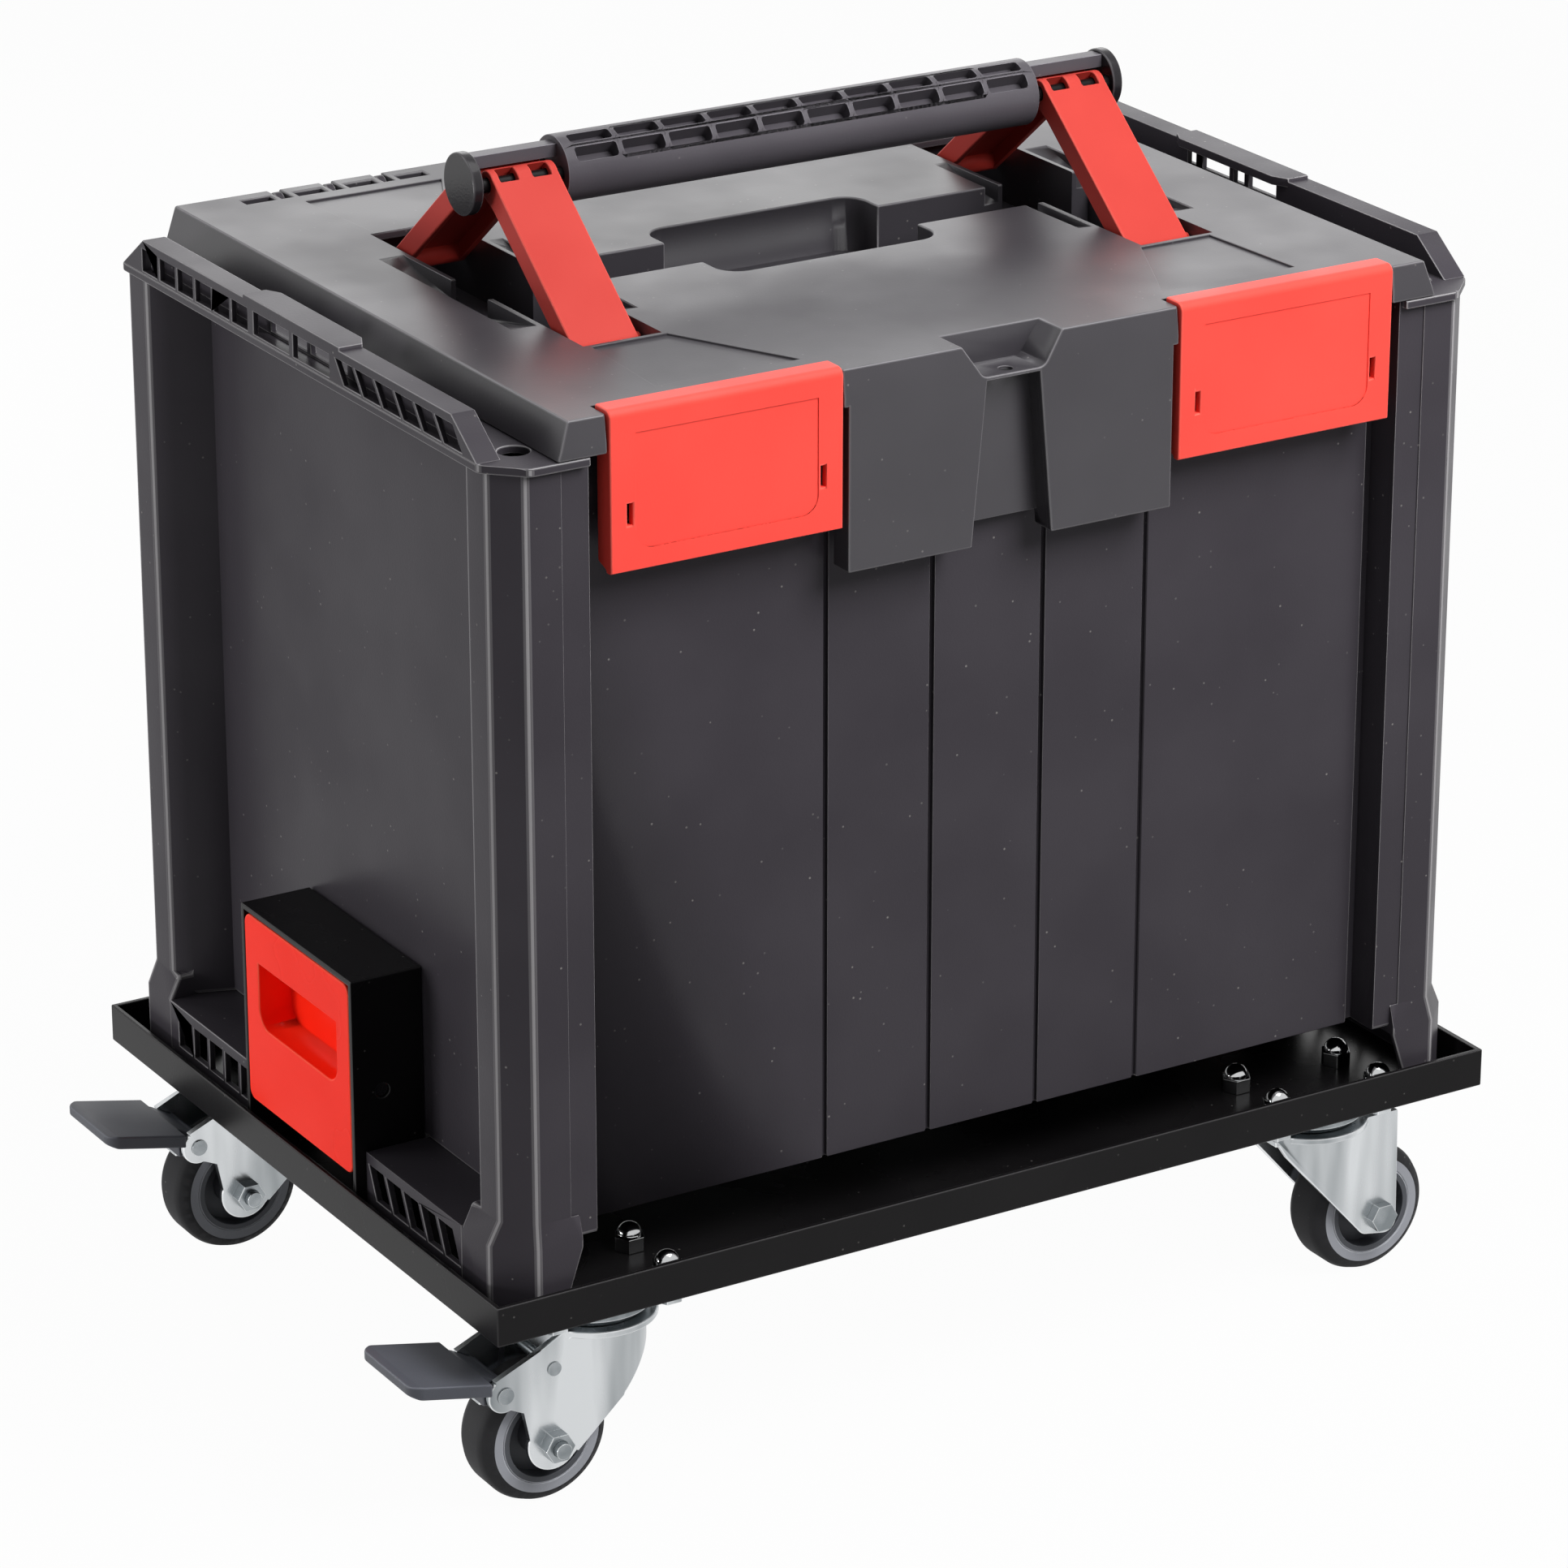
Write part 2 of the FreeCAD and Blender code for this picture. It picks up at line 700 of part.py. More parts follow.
# Corner feet: open shells of a front wall and a side wall under a ledge, which flare into the posts.
def make_feet(tub):
    corners = [(sign_x, sign_y) for sign_x in (-1, 1) for sign_y in (-1, 1)]

    def corner(points, place):
        return [(signed(place[0], x), signed(place[1], y)) for x, y in points]

    long = "foot_length / 2"
    deep = "foot_depth / 2"
    plan = (
        ("foot_inner_x", "front_wall - wall"), ("foot_inner_x", deep), (f"{long} - foot_chamfer", deep),
        (long, f"{deep} - foot_chamfer"), (long, "foot_end_y"), ("side_wall - wall", "foot_end_y"),
    )
    top = (
        ("foot_inner_x", "front_wall - wall"), ("foot_inner_x", "post_y"),
        ("post_x - post_chamfer", "post_y"), ("post_x", "post_y - post_chamfer"),
        ("post_x", "foot_end_y"), ("side_wall - wall", "foot_end_y"),
    )
    shell = (
        ("foot_inner_x", deep), (f"{long} - foot_chamfer", deep), (long, f"{deep} - foot_chamfer"),
        (long, "foot_end_y"), (f"{long} - foot_wall", "foot_end_y"),
        (f"{long} - foot_wall", f"{deep} - foot_chamfer - foot_wall / 2"),
        (f"{long} - foot_chamfer - foot_wall / 2", f"{deep} - foot_wall"),
        ("foot_inner_x", f"{deep} - foot_wall"),
    )
    tub.add_all("z", [corner(plan, place) for place in corners], "foot_top - foot_wall", "foot_top")
    for place in corners:
        tub.loft(corner(plan, place), "foot_top", corner(top, place), "foot_top + foot_flare")
    tub.add_all("z", [corner(shell, place) for place in corners], "tray_sheet", "foot_top - foot_wall")
    slant = (("foot_inner_x", "foot_top - foot_wall"), ("foot_inner_x", "tray_sheet"),
             ("foot_inner_x + foot_cutback", "tray_sheet"))
    for sign in (-1, 1):
        low, high = sorted((signed(sign, f"{deep} - foot_wall"), signed(sign, f"{deep} + overrun")),
                           key=number)
        tub.cut_all("y", [[(signed(side, x), z) for x, z in slant] for side in (-1, 1)], low, high)


# A bead on the front wall behind each latch, which the latch's hook snaps under.
def make_latch_beads(tub):
    low = "latch_axis_z - latch_drop + latch_hook_lift + latch_hook_height + latch_bead_gap"
    tub.add_all("z", [rectangle(f"{middle} - latch_bead_length / 2", "-(front_wall + latch_bead_depth)",
                                f"{middle} + latch_bead_length / 2", "-front_wall")
                      for middle in ("-latch_centre_x", "latch_centre_x")], low, f"{low} + latch_bead_height")


# Lugs on the rear rim, between the lid's loops, that carry the hinge rod.
def make_hinge_lugs(tub):
    radius = "hinge_rod_diameter / 2 + hinge_lug_wall"
    half = "loop_gap / 2 - side_gap"
    for sign in (-1, 1):
        middles = [f"{sign} * (loop_first_x - {index} * loop_pitch)"
                   for index in range(1, int(SIZES["loop_count"]))]
        tub.add_all("z", [rectangle(f"{middle} - ({half})", f"hinge_y - ({radius})", f"{middle} + {half}",
                                    "hinge_y + hinge_rod_diameter / 2 + hinge_lug_wall / 2")
                          for middle in middles], "rim_top - rim_thickness / 2", "hinge_z")
        for middle in middles:
            tub.add_round("x", ("hinge_y", "hinge_z"), radius, f"{middle} - ({half})", f"{middle} + {half}")
    tub.cut_round("x", [("hinge_y", "hinge_z")], "hinge_rod_diameter / 2", "-loop_first_x", "loop_first_x")


# Foot runners: an outer wall and a top plate along each side, with a row of open cells.
def make_runner(side, sign, end, direction):
    runner = Piece(f"foot_runner_{side}_{end}")
    long = "foot_length / 2"
    profile = [(signed(sign, x), z) for x, z in (
        (long, "tray_sheet"), (long, "foot_top"), ("side_wall - runner_seat", "foot_top"),
        ("side_wall - runner_seat", "foot_top - foot_wall"),
        (f"{long} - foot_wall", "foot_top - foot_wall"), (f"{long} - foot_wall", "tray_sheet"))]
    low, high = sorted((signed(direction, "runner_y"), signed(direction, "foot_end_y")), key=number)
    runner.add("y", profile, low, high)
    low, high = sorted((signed(sign, f"{long} + overrun"), signed(sign, f"{long} - foot_wall - overrun")),
                       key=number)
    lean = "0" if direction > 0 else "runner_window_width / 2"
    near = "runner_y + (runner_window_pitch - runner_window_width)"
    bottom = "foot_top - runner_window_top - runner_window_height"
    upper = "foot_top - runner_window_top"
    cell = runner.cut("x", [(signed(direction, y), z) for y, z in (
        (f"{near} + {lean}", bottom), (f"{near} + {lean} + runner_window_width", bottom),
        (f"{near} + runner_window_width", upper), (near, upper))], low, high)
    row = "(runner_window_count - 1) * runner_window_pitch"
    pattern = runner.repeat(cell, "H_Axis", row, "runner_window_count")
    pattern.Reversed = direction < 0


# Stacking rails: an inverted channel on each side of the rim, open in cells, with a raised catch plate.
def make_rail(side, sign):
    rail = Piece(f"stacking_rail_{side}")
    edge = "rim_length / 2"
    rail.add("x", (("-rail_foot_length / 2", "rim_top"), ("rail_foot_length / 2", "rim_top"),
                   ("rail_top_length / 2", "rim_top + rail_height"),
                   ("-rail_top_length / 2", "rim_top + rail_height")),
             *sorted((signed(sign, edge), signed(sign, f"{edge} - rail_width")), key=number))
    rail.cut("x", (("-rail_foot_length / 2 + 2 * rail_width", "rim_top - overrun"),
                   ("rail_foot_length / 2 - 2 * rail_width", "rim_top - overrun"),
                   ("rail_top_length / 2 - rail_wall", "rim_top + rail_height - rail_wall"),
                   ("-rail_top_length / 2 + rail_wall", "rim_top + rail_height - rail_wall")),
             *sorted((signed(sign, f"{edge} - rail_wall"), signed(sign, f"{edge} - rail_width + rail_wall")),
                     key=number))
    plate = "catch_plate_length / 2"
    rail.add("z", [(signed(sign, x), y) for x, y in (
        (edge, minus(plate)), (f"{edge} - rail_width", minus(plate)),
        (f"{edge} - catch_plate_width", f"-({plate} - catch_plate_bevel)"),
        (f"{edge} - catch_plate_width", f"{plate} - catch_plate_bevel"),
        (f"{edge} - rail_width", plate), (edge, plate))],
        "rim_top + rail_height - rail_wall", "rim_top + rail_height + catch_plate_rise")
    low = "rim_top + rail_wall / 2"
    outer = sorted((signed(sign, f"{edge} + overrun"), signed(sign, f"{edge} - rail_width - overrun")),
                   key=number)
    for direction in (-1, 1):
        near, far = sorted((f"{direction} * rail_through_gap / 2",
                            f"{direction} * (rail_through_gap / 2 + rail_through_length)"), key=number)
        rail.cut("x", rectangle(near, low, far, f"{low} + rail_window_height"), *outer)
    skin = sorted((signed(sign, f"{edge} + overrun"), signed(sign, f"{edge} - rail_wall - overrun / 2")),
                  key=number)
    start = "rail_through_length + 2 * rail_through_gap"
    for direction in (-1, 1):
        lean = "rail_window_width / 2" if direction < 0 else "0"
        cell = rail.cut("x", [(signed(direction, y), z) for y, z in (
            (f"{start} + {lean}", low), (f"{start} + {lean} + rail_window_width", low),
            (f"{start} + rail_window_width", f"{low} + rail_window_height"),
            (start, f"{low} + rail_window_height"))], *skin)
        pattern = rail.repeat(cell, "H_Axis", "(rail_window_count - 1) * rail_window_pitch",
                              "rail_window_count")
        pattern.Reversed = direction < 0


# Lid: a shallow shell with slanted ends, recesses for the folded handle and a front flap.
def make_lid():
    lid = Piece("lid")
    front = "-lid_front_y"
    top = "lid_top"
    lid.add("y", (("-lid_foot_length / 2", "lid_foot"), ("lid_foot_length / 2", "lid_foot"),
                  ("lid_top_length / 2", top), ("-lid_top_length / 2", top)), front, "lid_rear_y")
    lid.cut("y", (("-(lid_foot_length / 2 - lid_wall)", "lid_foot - overrun"),
                  ("lid_foot_length / 2 - lid_wall", "lid_foot - overrun"),
                  ("lid_top_length / 2 - lid_wall", "lid_top - lid_plate"),
                  ("-(lid_top_length / 2 - lid_wall)", "lid_top - lid_plate")),
            "-(lid_front_y - lid_wall)", "loop_front_y - loop_wall")
    make_flap(lid)
    make_recesses(lid)
    make_latch_seats(lid)
    make_scoop(lid)
    make_lid_hinge(lid)
    panel = (("panel_outer_x", "panel_back_y"), ("panel_inner_x", "panel_back_y"),
             ("panel_front_x", "panel_front_y"), ("panel_outer_x + lid_wall", "panel_front_y"))
    lid.cut_all("z", [[(signed(sign_x, x), signed(sign_y, y)) for x, y in panel]
                      for sign_x in (-1, 1) for sign_y in (-1, 1)], "lid_top - panel_depth",
                "lid_top + overrun")


# Flap: the lid's front skirt between the latches, with side flanges and a tapered gap in the middle.
def make_flap(lid):
    foot = "lid_foot - flap_drop"
    outer = "lid_front_y"
    lid.add("y", centred("flap_length", foot, "lid_foot + lid_wall"), minus(outer), f"-({outer} - flap_wall)")
    gap = (("-flap_gap_foot / 2", foot), ("flap_gap_foot / 2", foot),
           ("flap_gap_top / 2", f"{foot} + flap_gap_height"),
           ("-flap_gap_top / 2", f"{foot} + flap_gap_height"))
    inner = f"-({outer} - flap_flange)"
    flanges = []
    for sign in (-1, 1):
        flanges.append([(signed(sign, x), z) for x, z in (
            ("flap_length / 2 - flap_wall", foot), ("flap_length / 2", foot),
            ("flap_length / 2", "lid_foot + lid_wall"),
            ("flap_length / 2 - flap_wall", "lid_foot + lid_wall"))])
        flanges.append([(signed(sign, x), z) for x, z in (
            ("flap_gap_foot / 2", foot), ("flap_gap_foot / 2 + flap_wall", foot),
            ("flap_gap_top / 2 + flap_wall", "lid_foot + lid_wall"),
            ("flap_gap_top / 2", "lid_foot + lid_wall"))])
    lid.add_all("y", flanges, minus(outer), inner)
    lid.cut("y", gap, f"-({outer} + overrun)", f"-({outer} - flap_wall)")
    lid.add("y", (("-(flap_gap_foot / 2 + flap_wall / 2)", f"{foot} + flap_back_rise"),
                  ("flap_gap_foot / 2 + flap_wall / 2", f"{foot} + flap_back_rise"),
                  ("flap_gap_top / 2 + flap_wall / 2", "lid_foot + lid_wall"),
                  ("-(flap_gap_top / 2 + flap_wall / 2)", "lid_foot + lid_wall")),
            f"-({outer} - flap_flange + flap_wall / 2)", inner)
    bevel = ((f"-({outer} - lid_front_bevel)", "lid_top + overrun"),
             (f"-({outer} + overrun)", "lid_top + overrun"),
             (f"-({outer} + overrun)", "lid_top - lid_front_bevel_height"),
             (minus(outer), "lid_top - lid_front_bevel_height"),
             (f"-({outer} - lid_front_bevel)", "lid_top"))
    lid.cut("x", bevel, "-lid_foot_length", "lid_foot_length")


# Recesses: a channel for the grip, a finger well, and a pocket for each pair of arms, with fins beside it.
def make_recesses(lid):
    under = "lid_top - lid_plate / 2"
    lid.add("z", centred("2 * (channel_x + recess_wall)", "-(channel_y + recess_wall)",
                         "channel_y + recess_wall"),
            "channel_floor - recess_floor", under)
    lid.add("z", centred("well_length + 2 * recess_wall", "-(well_width / 2 + recess_wall)",
                         "well_width / 2 + recess_wall"), "well_floor - recess_floor", under)

    def pair(inner, reach, outer):
        return [rectangle(inner, minus(reach), outer, reach),
                rectangle(minus(outer), minus(reach), minus(inner), reach)]

    lid.add_all("z", pair("pocket_inner_x - recess_wall", "pocket_y + recess_wall",
                          "pocket_outer_x + recess_wall"),
                "pocket_floor - recess_floor", under)
    lid.add_all("z", pair("dip_inner_x - recess_wall", "dip_reach", "dip_outer_x + recess_wall"),
                "lid_top - lid_plate - dip_depth", under)
    fins = []
    for sign in (-1, 1):
        inner, outer = sorted((signed(sign, "dip_inner_x"), signed(sign, "dip_outer_x")), key=number)
        lid.cut_round("x", [("0", "lid_top - dip_depth + dip_radius")], "dip_radius", inner, outer)
        for edge in ("pocket_inner_x - fin_thickness", "pocket_outer_x"):
            low, high = sorted((signed(sign, edge), signed(sign, f"{edge} + fin_thickness")), key=number)
            fins.append(rectangle(low, "fin_inner_y", high, "fin_outer_y"))
            fins.append(rectangle(low, "-fin_outer_y", high, "-fin_inner_y"))
    lid.add_all("z", fins, "lid_top - lid_plate - dip_depth", "lid_top")
    lid.cut("z", centred("2 * channel_x", "-channel_y", "channel_y"), "channel_floor", "lid_top + overrun")
    lid.cut("z", centred("well_length", "-well_width / 2", "well_width / 2"), "well_floor",
            "lid_top + overrun")
    lid.cut_all("z", pair("pocket_inner_x", "pocket_y", "pocket_outer_x"), "pocket_floor",
                "lid_top - lid_plate")
    lid.cut_all("z", pair("pocket_inner_x", "pocket_top_y", "pocket_outer_x"),
                "lid_top - lid_plate - overrun", "lid_top + overrun")
    lid.round_edges("z", [(f"{x} * well_length / 2", f"{y} * well_width / 2") for x in (-1, 1)
                          for y in (-1, 1)],
                    "well_round")


# Latch seats: a rounded recess in the lid's front edge, closed behind, between two cheeks that hold the pin.
def make_latch_seats(lid):
    length = "latch_length / 2 + latch_end_gap"
    back = "latch_axis_y - latch_recess_radius"
    middles = ("-latch_centre_x", "latch_centre_x")
    lid.add_all("z", [rectangle(f"{middle} - ({length}) - latch_cheek", "-(lid_front_y - lid_wall)",
                                f"{middle} + {length} + latch_cheek", f"-({back} - recess_wall)")
                      for middle in middles], "lid_foot", "lid_top - lid_plate / 2")
    lid.cut_all("z", [rectangle(f"{middle} - ({length})", "-(lid_front_y + overrun)", f"{middle} + {length}",
                                "-latch_axis_y") for middle in middles], "lid_foot - overrun",
                "lid_top + overrun")
    lid.cut_all("z", [rectangle(f"{middle} - ({length})", "-latch_axis_y", f"{middle} + {length}",
                                minus(back))
                      for middle in middles], "lid_foot - overrun", "latch_axis_z")
    for middle in middles:
        lid.cut_round("x", [("-latch_axis_y", "latch_axis_z")], "latch_recess_radius",
                      f"{middle} - ({length})", f"{middle} + {length}")
        lid.cut_round("x", [("-latch_axis_y", "latch_axis_z")], "latch_pin_diameter / 2",
                      f"{middle} - ({length}) - latch_cheek", f"{middle} + {length} + latch_cheek")


# Scoop: a funnel in the lid's front edge with a small seal hole in its floor.
def make_scoop(lid):
    floor = "lid_top - scoop_depth"
    lid.add("z", centred("scoop_top_length + 2 * lid_wall", "-(lid_front_y - lid_wall)",
                         "-(scoop_back_y - lid_wall)"), "lid_foot", "lid_top - lid_plate / 2")
    lid.cut("y", (("-scoop_foot_length / 2", floor), ("scoop_foot_length / 2", floor),
                  ("scoop_top_length / 2", "lid_top"), ("scoop_top_length / 2", "lid_top + overrun"),
                  ("-scoop_top_length / 2", "lid_top + overrun"), ("-scoop_top_length / 2", "lid_top")),
            "-(lid_front_y + overrun)", "-scoop_back_y")
    lid.round_edges("y", [("-scoop_foot_length / 2", floor), ("scoop_foot_length / 2", floor)], "scoop_round")
    lid.cut_round("z", [("0", "-scoop_hole_y")], "scoop_hole_diameter / 2", "lid_foot - overrun",
                  f"{floor} + overrun")


# Rear edge of the lid: open loops, notches for the tub's lugs, and the bore for the hinge rod.
def make_lid_hinge(lid):
    openings = []
    for sign in (-1, 1):
        for index in range(int(SIZES["loop_count"])):
            start = f"loop_first_x - {index} * loop_pitch"
            inner, outer = sorted((f"{sign} * ({start} - loop_gap / 2 - loop_wall)",
                                   f"{sign} * ({start} - loop_pitch + loop_gap / 2 + loop_wall)"), key=number)
            openings.append(rectangle(inner, "loop_front_y", outer, "lid_rear_y - loop_bar"))
            if index:
                openings.append(rectangle(f"{sign} * ({start}) - loop_gap / 2", "loop_front_y",
                                          f"{sign} * ({start}) + loop_gap / 2", "lid_rear_y + overrun"))
    lid.cut_all("z", openings, "lid_foot - overrun", "lid_top + overrun")
    lid.cut_round("x", [("hinge_y", "hinge_z")], "hinge_rod_diameter / 2 + running_gap",
                  "-hinge_rod_length / 2 - seat_gap", "hinge_rod_length / 2 + seat_gap")
    lid.cut("x", (("lid_rear_y - hinge_chamfer", "lid_foot"), ("lid_rear_y + overrun", "lid_foot - overrun"),
                  ("lid_rear_y + overrun", "lid_foot + hinge_chamfer"),
                  ("lid_rear_y", "lid_foot + hinge_chamfer")),
            "-lid_foot_length", "lid_foot_length")


# Latch: a deep face plate with a sunk panel and two slots, a barrel on the pin,
# a top flange, side walls and a hook.
def make_latch(side, sign):
    latch = Piece(f"latch_{side}",
                  at=(signed(sign, "latch_centre_x"), "-latch_axis_y", "castor_height + latch_axis_z"))
    half = "latch_length / 2"
    latch.add("x", rectangle("-latch_face", "-latch_drop", "-(latch_face - latch_plate)", "latch_rise"),
              minus(half), half)
    latch.add("x", rectangle("-latch_face", "latch_rise - latch_flange_plate", "latch_flange", "latch_rise"),
              minus(half), half)
    latch.add_round("x", ("0", "0"), "latch_barrel_radius", minus(half), half)
    latch.add("x", rectangle("-(latch_face - latch_plate / 2)", "-latch_barrel_radius", "0",
                             "latch_barrel_radius"),
              minus(half), half)
    inner = "latch_side_depth - latch_face"
    for low, high in ((minus(half), f"-({half} - latch_side_wall)"), (f"{half} - latch_side_wall", half)):
        latch.add("x", ((("-latch_face"), "-latch_drop"), (inner, "-latch_drop + latch_round"), (inner, "0"),
                        ("latch_flange", "latch_rise - latch_flange_plate"),
                        ("-latch_face", "latch_rise - latch_flange_plate")), low, high)
    reach = "latch_axis_y - front_wall - latch_bead_depth + latch_hook_bite"
    latch.add("x", rectangle("-(latch_face - latch_plate / 2)", "-latch_drop + latch_hook_lift", reach,
                             "-latch_drop + latch_hook_lift + latch_hook_height"),
              "-latch_bead_length / 2 + side_gap", "latch_bead_length / 2 - side_gap")
    latch.cut_round("x", [("0", "0")], "latch_pin_diameter / 2 + running_gap", minus(half), half)
    latch.round_edges("x", [("-latch_face", "latch_rise")], "latch_round")
    panel = f"{half} - latch_panel_side"
    foot = "-latch_drop + latch_panel_foot"
    latch.cut("y", rectangle(f"-({panel})", foot, panel, "latch_rise - latch_panel_head"),
              "-latch_face - overrun", "-latch_face + latch_panel_depth")
    latch.round_edges("y", [(f"-({panel})", foot), (panel, foot)], "latch_panel_round")
    middles = (f"-({half} - latch_slot_side)", f"{half} - latch_slot_side")
    low = "-latch_drop + latch_slot_lift - latch_slot_length / 2"
    latch.cut_all("y", [rectangle(f"{middle} - latch_slot_width / 2", low, f"{middle} + latch_slot_width / 2",
                                  f"{low} + latch_slot_length") for middle in middles],
                  "-latch_face - overrun", "-(latch_face - latch_plate) + overrun")


# Handle: a hollow-celled grip with a spine to each end cap, two rods and four arms.
def make_grip():
    grip = Piece("handle_grip", at=("0", "0", "castor_height + handle_z"))
    grip.add_round("x", ("0", "0"), "grip_radius", "-grip_length / 2", "grip_length / 2")
    pitch = "(grip_length - 2 * grip_end_wall + grip_cell_rib) / grip_cell_count"
    first = "-grip_length / 2 + grip_end_wall"
    sketch = grip.sketch("z", "grip_cell_floor")
    for low, high in (("-grip_rib_y + grip_cell_edge", "grip_cell_reach"),
                      ("-grip_cell_reach", "-grip_rib_y - grip_cell_edge")):
        grip.draw(sketch, rectangle(first, low, f"{first} + {pitch} - grip_cell_rib", high))
    cell = grip.extrude("Pocket", sketch, "z", "grip_cell_floor", "grip_radius + overrun")
    grip.repeat(cell, "H_Axis", f"({pitch}) * (grip_cell_count - 1)", "grip_cell_count")
    for sign in (-1, 1):
        low, high = sorted((signed(sign, "grip_length / 2 - grip_end_wall / 2"), signed(sign, "cap_face_x")),
                           key=number)
        grip.add("x", rectangle("-spine_width / 2", "spine_foot", "spine_width / 2", "spine_top"), low, high)
    grip.round_edges("x", [(f"{edge} * spine_width / 2", level) for edge in (-1, 1)
                           for level in ("spine_foot", "spine_top")], "spine_round")
    grip.cut_round("x", [("-rod_offset", "0"), ("rod_offset", "0")], "rod_diameter / 2",
                   "-grip_length / 2", "grip_length / 2")


def make_caps():
    caps = []
    for side, sign in SIDES:
        low = min(signed(sign, "cap_face_x"), signed(sign, "cap_end_x"), key=number)
        disc = rod(f"cap_disc_{side}", "x", (low, "0", "castor_height + handle_z"), "cap_diameter",
                   "cap_thickness")
        low = min(signed(sign, "cap_face_x"), signed(sign, "rod_end_x"), key=number)
        for name, offset in (("front", "-rod_offset"), ("rear", "rod_offset")):
            hole = rod(f"cap_hole_{side}_{name}", "x", (low, offset, "castor_height + handle_z"),
                       "rod_diameter",
                       "cap_rod_depth")
            disc = bored(f"cap_{side}_{name}", disc, hole)
        caps.append(disc)
    group("handle_end_caps", caps)


def make_rods():
    group("handle_rods", [
        rod(f"handle_rod_{name}", "x", (minus("rod_end_x"), offset, "castor_height + handle_z"),
            "rod_diameter",
            "2 * (rod_end_x)") for name, offset in (("front", "-rod_offset"), ("rear", "rod_offset"))])


# Arm: a channel with a knuckle on the rod and two windows over it.
# Its rounded foot has stubs that slide in the pocket.
def make_arm(side, sign, end, direction):
    tilt = "arm_tilt" if direction < 0 else "-arm_tilt"
    arm = Piece(f"handle_arm_{side}_{end}", at=(signed(sign, "arm_middle_x"), signed(direction, "rod_offset"),
                                               "castor_height + handle_z"), turn=tilt, turn_axis=(1, 0, 0))
    half = "arm_width / 2"
    foot = "arm_top - arm_foot_radius"

    def along(points):
        return [(signed(direction, y), z) for y, z in points]

    arm.add_round("x", ("0", "0"), "arm_knuckle_radius", minus(half), half)
    arm.add("x", along((("0", "arm_top - arm_plate"), ("arm_length", "arm_top - arm_plate"),
                        ("arm_length", "arm_top"), ("0", "arm_top"))), minus(half), half)
    arm.add_round("x", along((("arm_length", foot),))[0], "arm_foot_radius", minus(half), half)
    guide = f"{half} + pocket_gap - arm_guide_gap"
    arm.add_round("x", along((("arm_length", foot),))[0], "arm_guide_radius", minus(guide), guide)
    for low, high in ((minus(half), f"-({half} - arm_side_wall)"), (f"{half} - arm_side_wall", half)):
        arm.add("x", along((("0", "-arm_knuckle_radius"), ("arm_side_depth", "arm_top - arm_side_depth"),
                            ("arm_length", "arm_top - 2 * arm_foot_radius"), ("arm_length", "arm_top"),
                            ("0", "arm_top"))), low, high)
    for place in (-1, 1):
        middle = f"{place} * arm_width / 4"
        arm.cut("z", rectangle(f"{middle} - arm_window_length / 2", "-arm_window_height / 2",
                               f"{middle} + arm_window_length / 2", "arm_window_height / 2"),
                "0", "arm_top + arm_knuckle_radius")
    arm.cut_round("x", [("0", "0")], "rod_diameter / 2 + running_gap", minus(half), half)


# Roller tray: one folded sheet with a lip all round and holes for the castor bolts.
def castor_places():
    """Name, sign along X and place of each castor."""
    for side, sign, x in (("left", -1, "-(castor_left_x)"), ("right", 1, "castor_right_x")):
        for end, y in (("front", "-(castor_front_y)"), ("rear", "castor_rear_y")):
            yield f"{end}_{side}", sign, x, y


def bolt_places():
    """Places of the sixteen castor bolts."""
    for name, sign, x, y in castor_places():
        for step_x in (-1, 1):
            for step_y in (-1, 1):
                yield f"{x} + {step_x} * bolt_pitch_x / 2", f"{y} + {step_y} * bolt_pitch_y / 2"


def make_tray():
    tray = Piece("roller_tray")
    tray.add("z", centred("tray_length", "-tray_depth / 2", "tray_depth / 2"), "0", "tray_lip")
    tray.cut("z", centred("tray_length - 2 * tray_sheet", "-tray_depth / 2 + tray_sheet",
                          "tray_depth / 2 - tray_sheet"),
             "tray_sheet", "tray_lip + overrun")
    tray.cut_round("z", list(bolt_places()), "(bolt_diameter + bolt_clearance) / 2", "-overrun",
                   "tray_sheet + overrun")


def make_fasteners():
    bolts = []
    nuts = []
    plate = "plate_foot"
    for index, (x, y) in enumerate(bolt_places()):
        shank = rod(f"bolt_shank_{index}", "z", (x, y, plate), "bolt_diameter",
                    "castor_plate_sheet + tray_sheet + cap_nut_hex_height")
        head = hexagon(f"bolt_head_{index}", "z", (x, y, f"{plate} - bolt_head_height"), "bolt_head_width",
                       "bolt_head_height")
        bolts.append(joined(f"bolt_{index}", [shank, head]))
        seat = "castor_height + tray_sheet"
        hexed = hexagon(f"nut_hex_{index}", "z", (x, y, seat), "cap_nut_width", "cap_nut_hex_height")
        dome = doc.addObject("Part::Sphere", f"nut_dome_{index}")
        dome.setExpression("Radius", formula("cap_nut_dome_radius"))
        for letter, text in zip("xyz", (f"case_x + {x}", y, f"{seat} + cap_nut_hex_height")):
            dome.setExpression(f"Placement.Base.{letter}", formula(text))
        dome.Angle1 = 0
        bore = rod(f"nut_bore_{index}", "z", (x, y, seat), "bolt_diameter", "cap_nut_hex_height")
        nuts.append(bored(f"nut_{index}", joined(f"nut_blank_{index}", [hexed, dome]), bore))
    group("castor_bolts", bolts)
    group("cap_nuts", nuts)


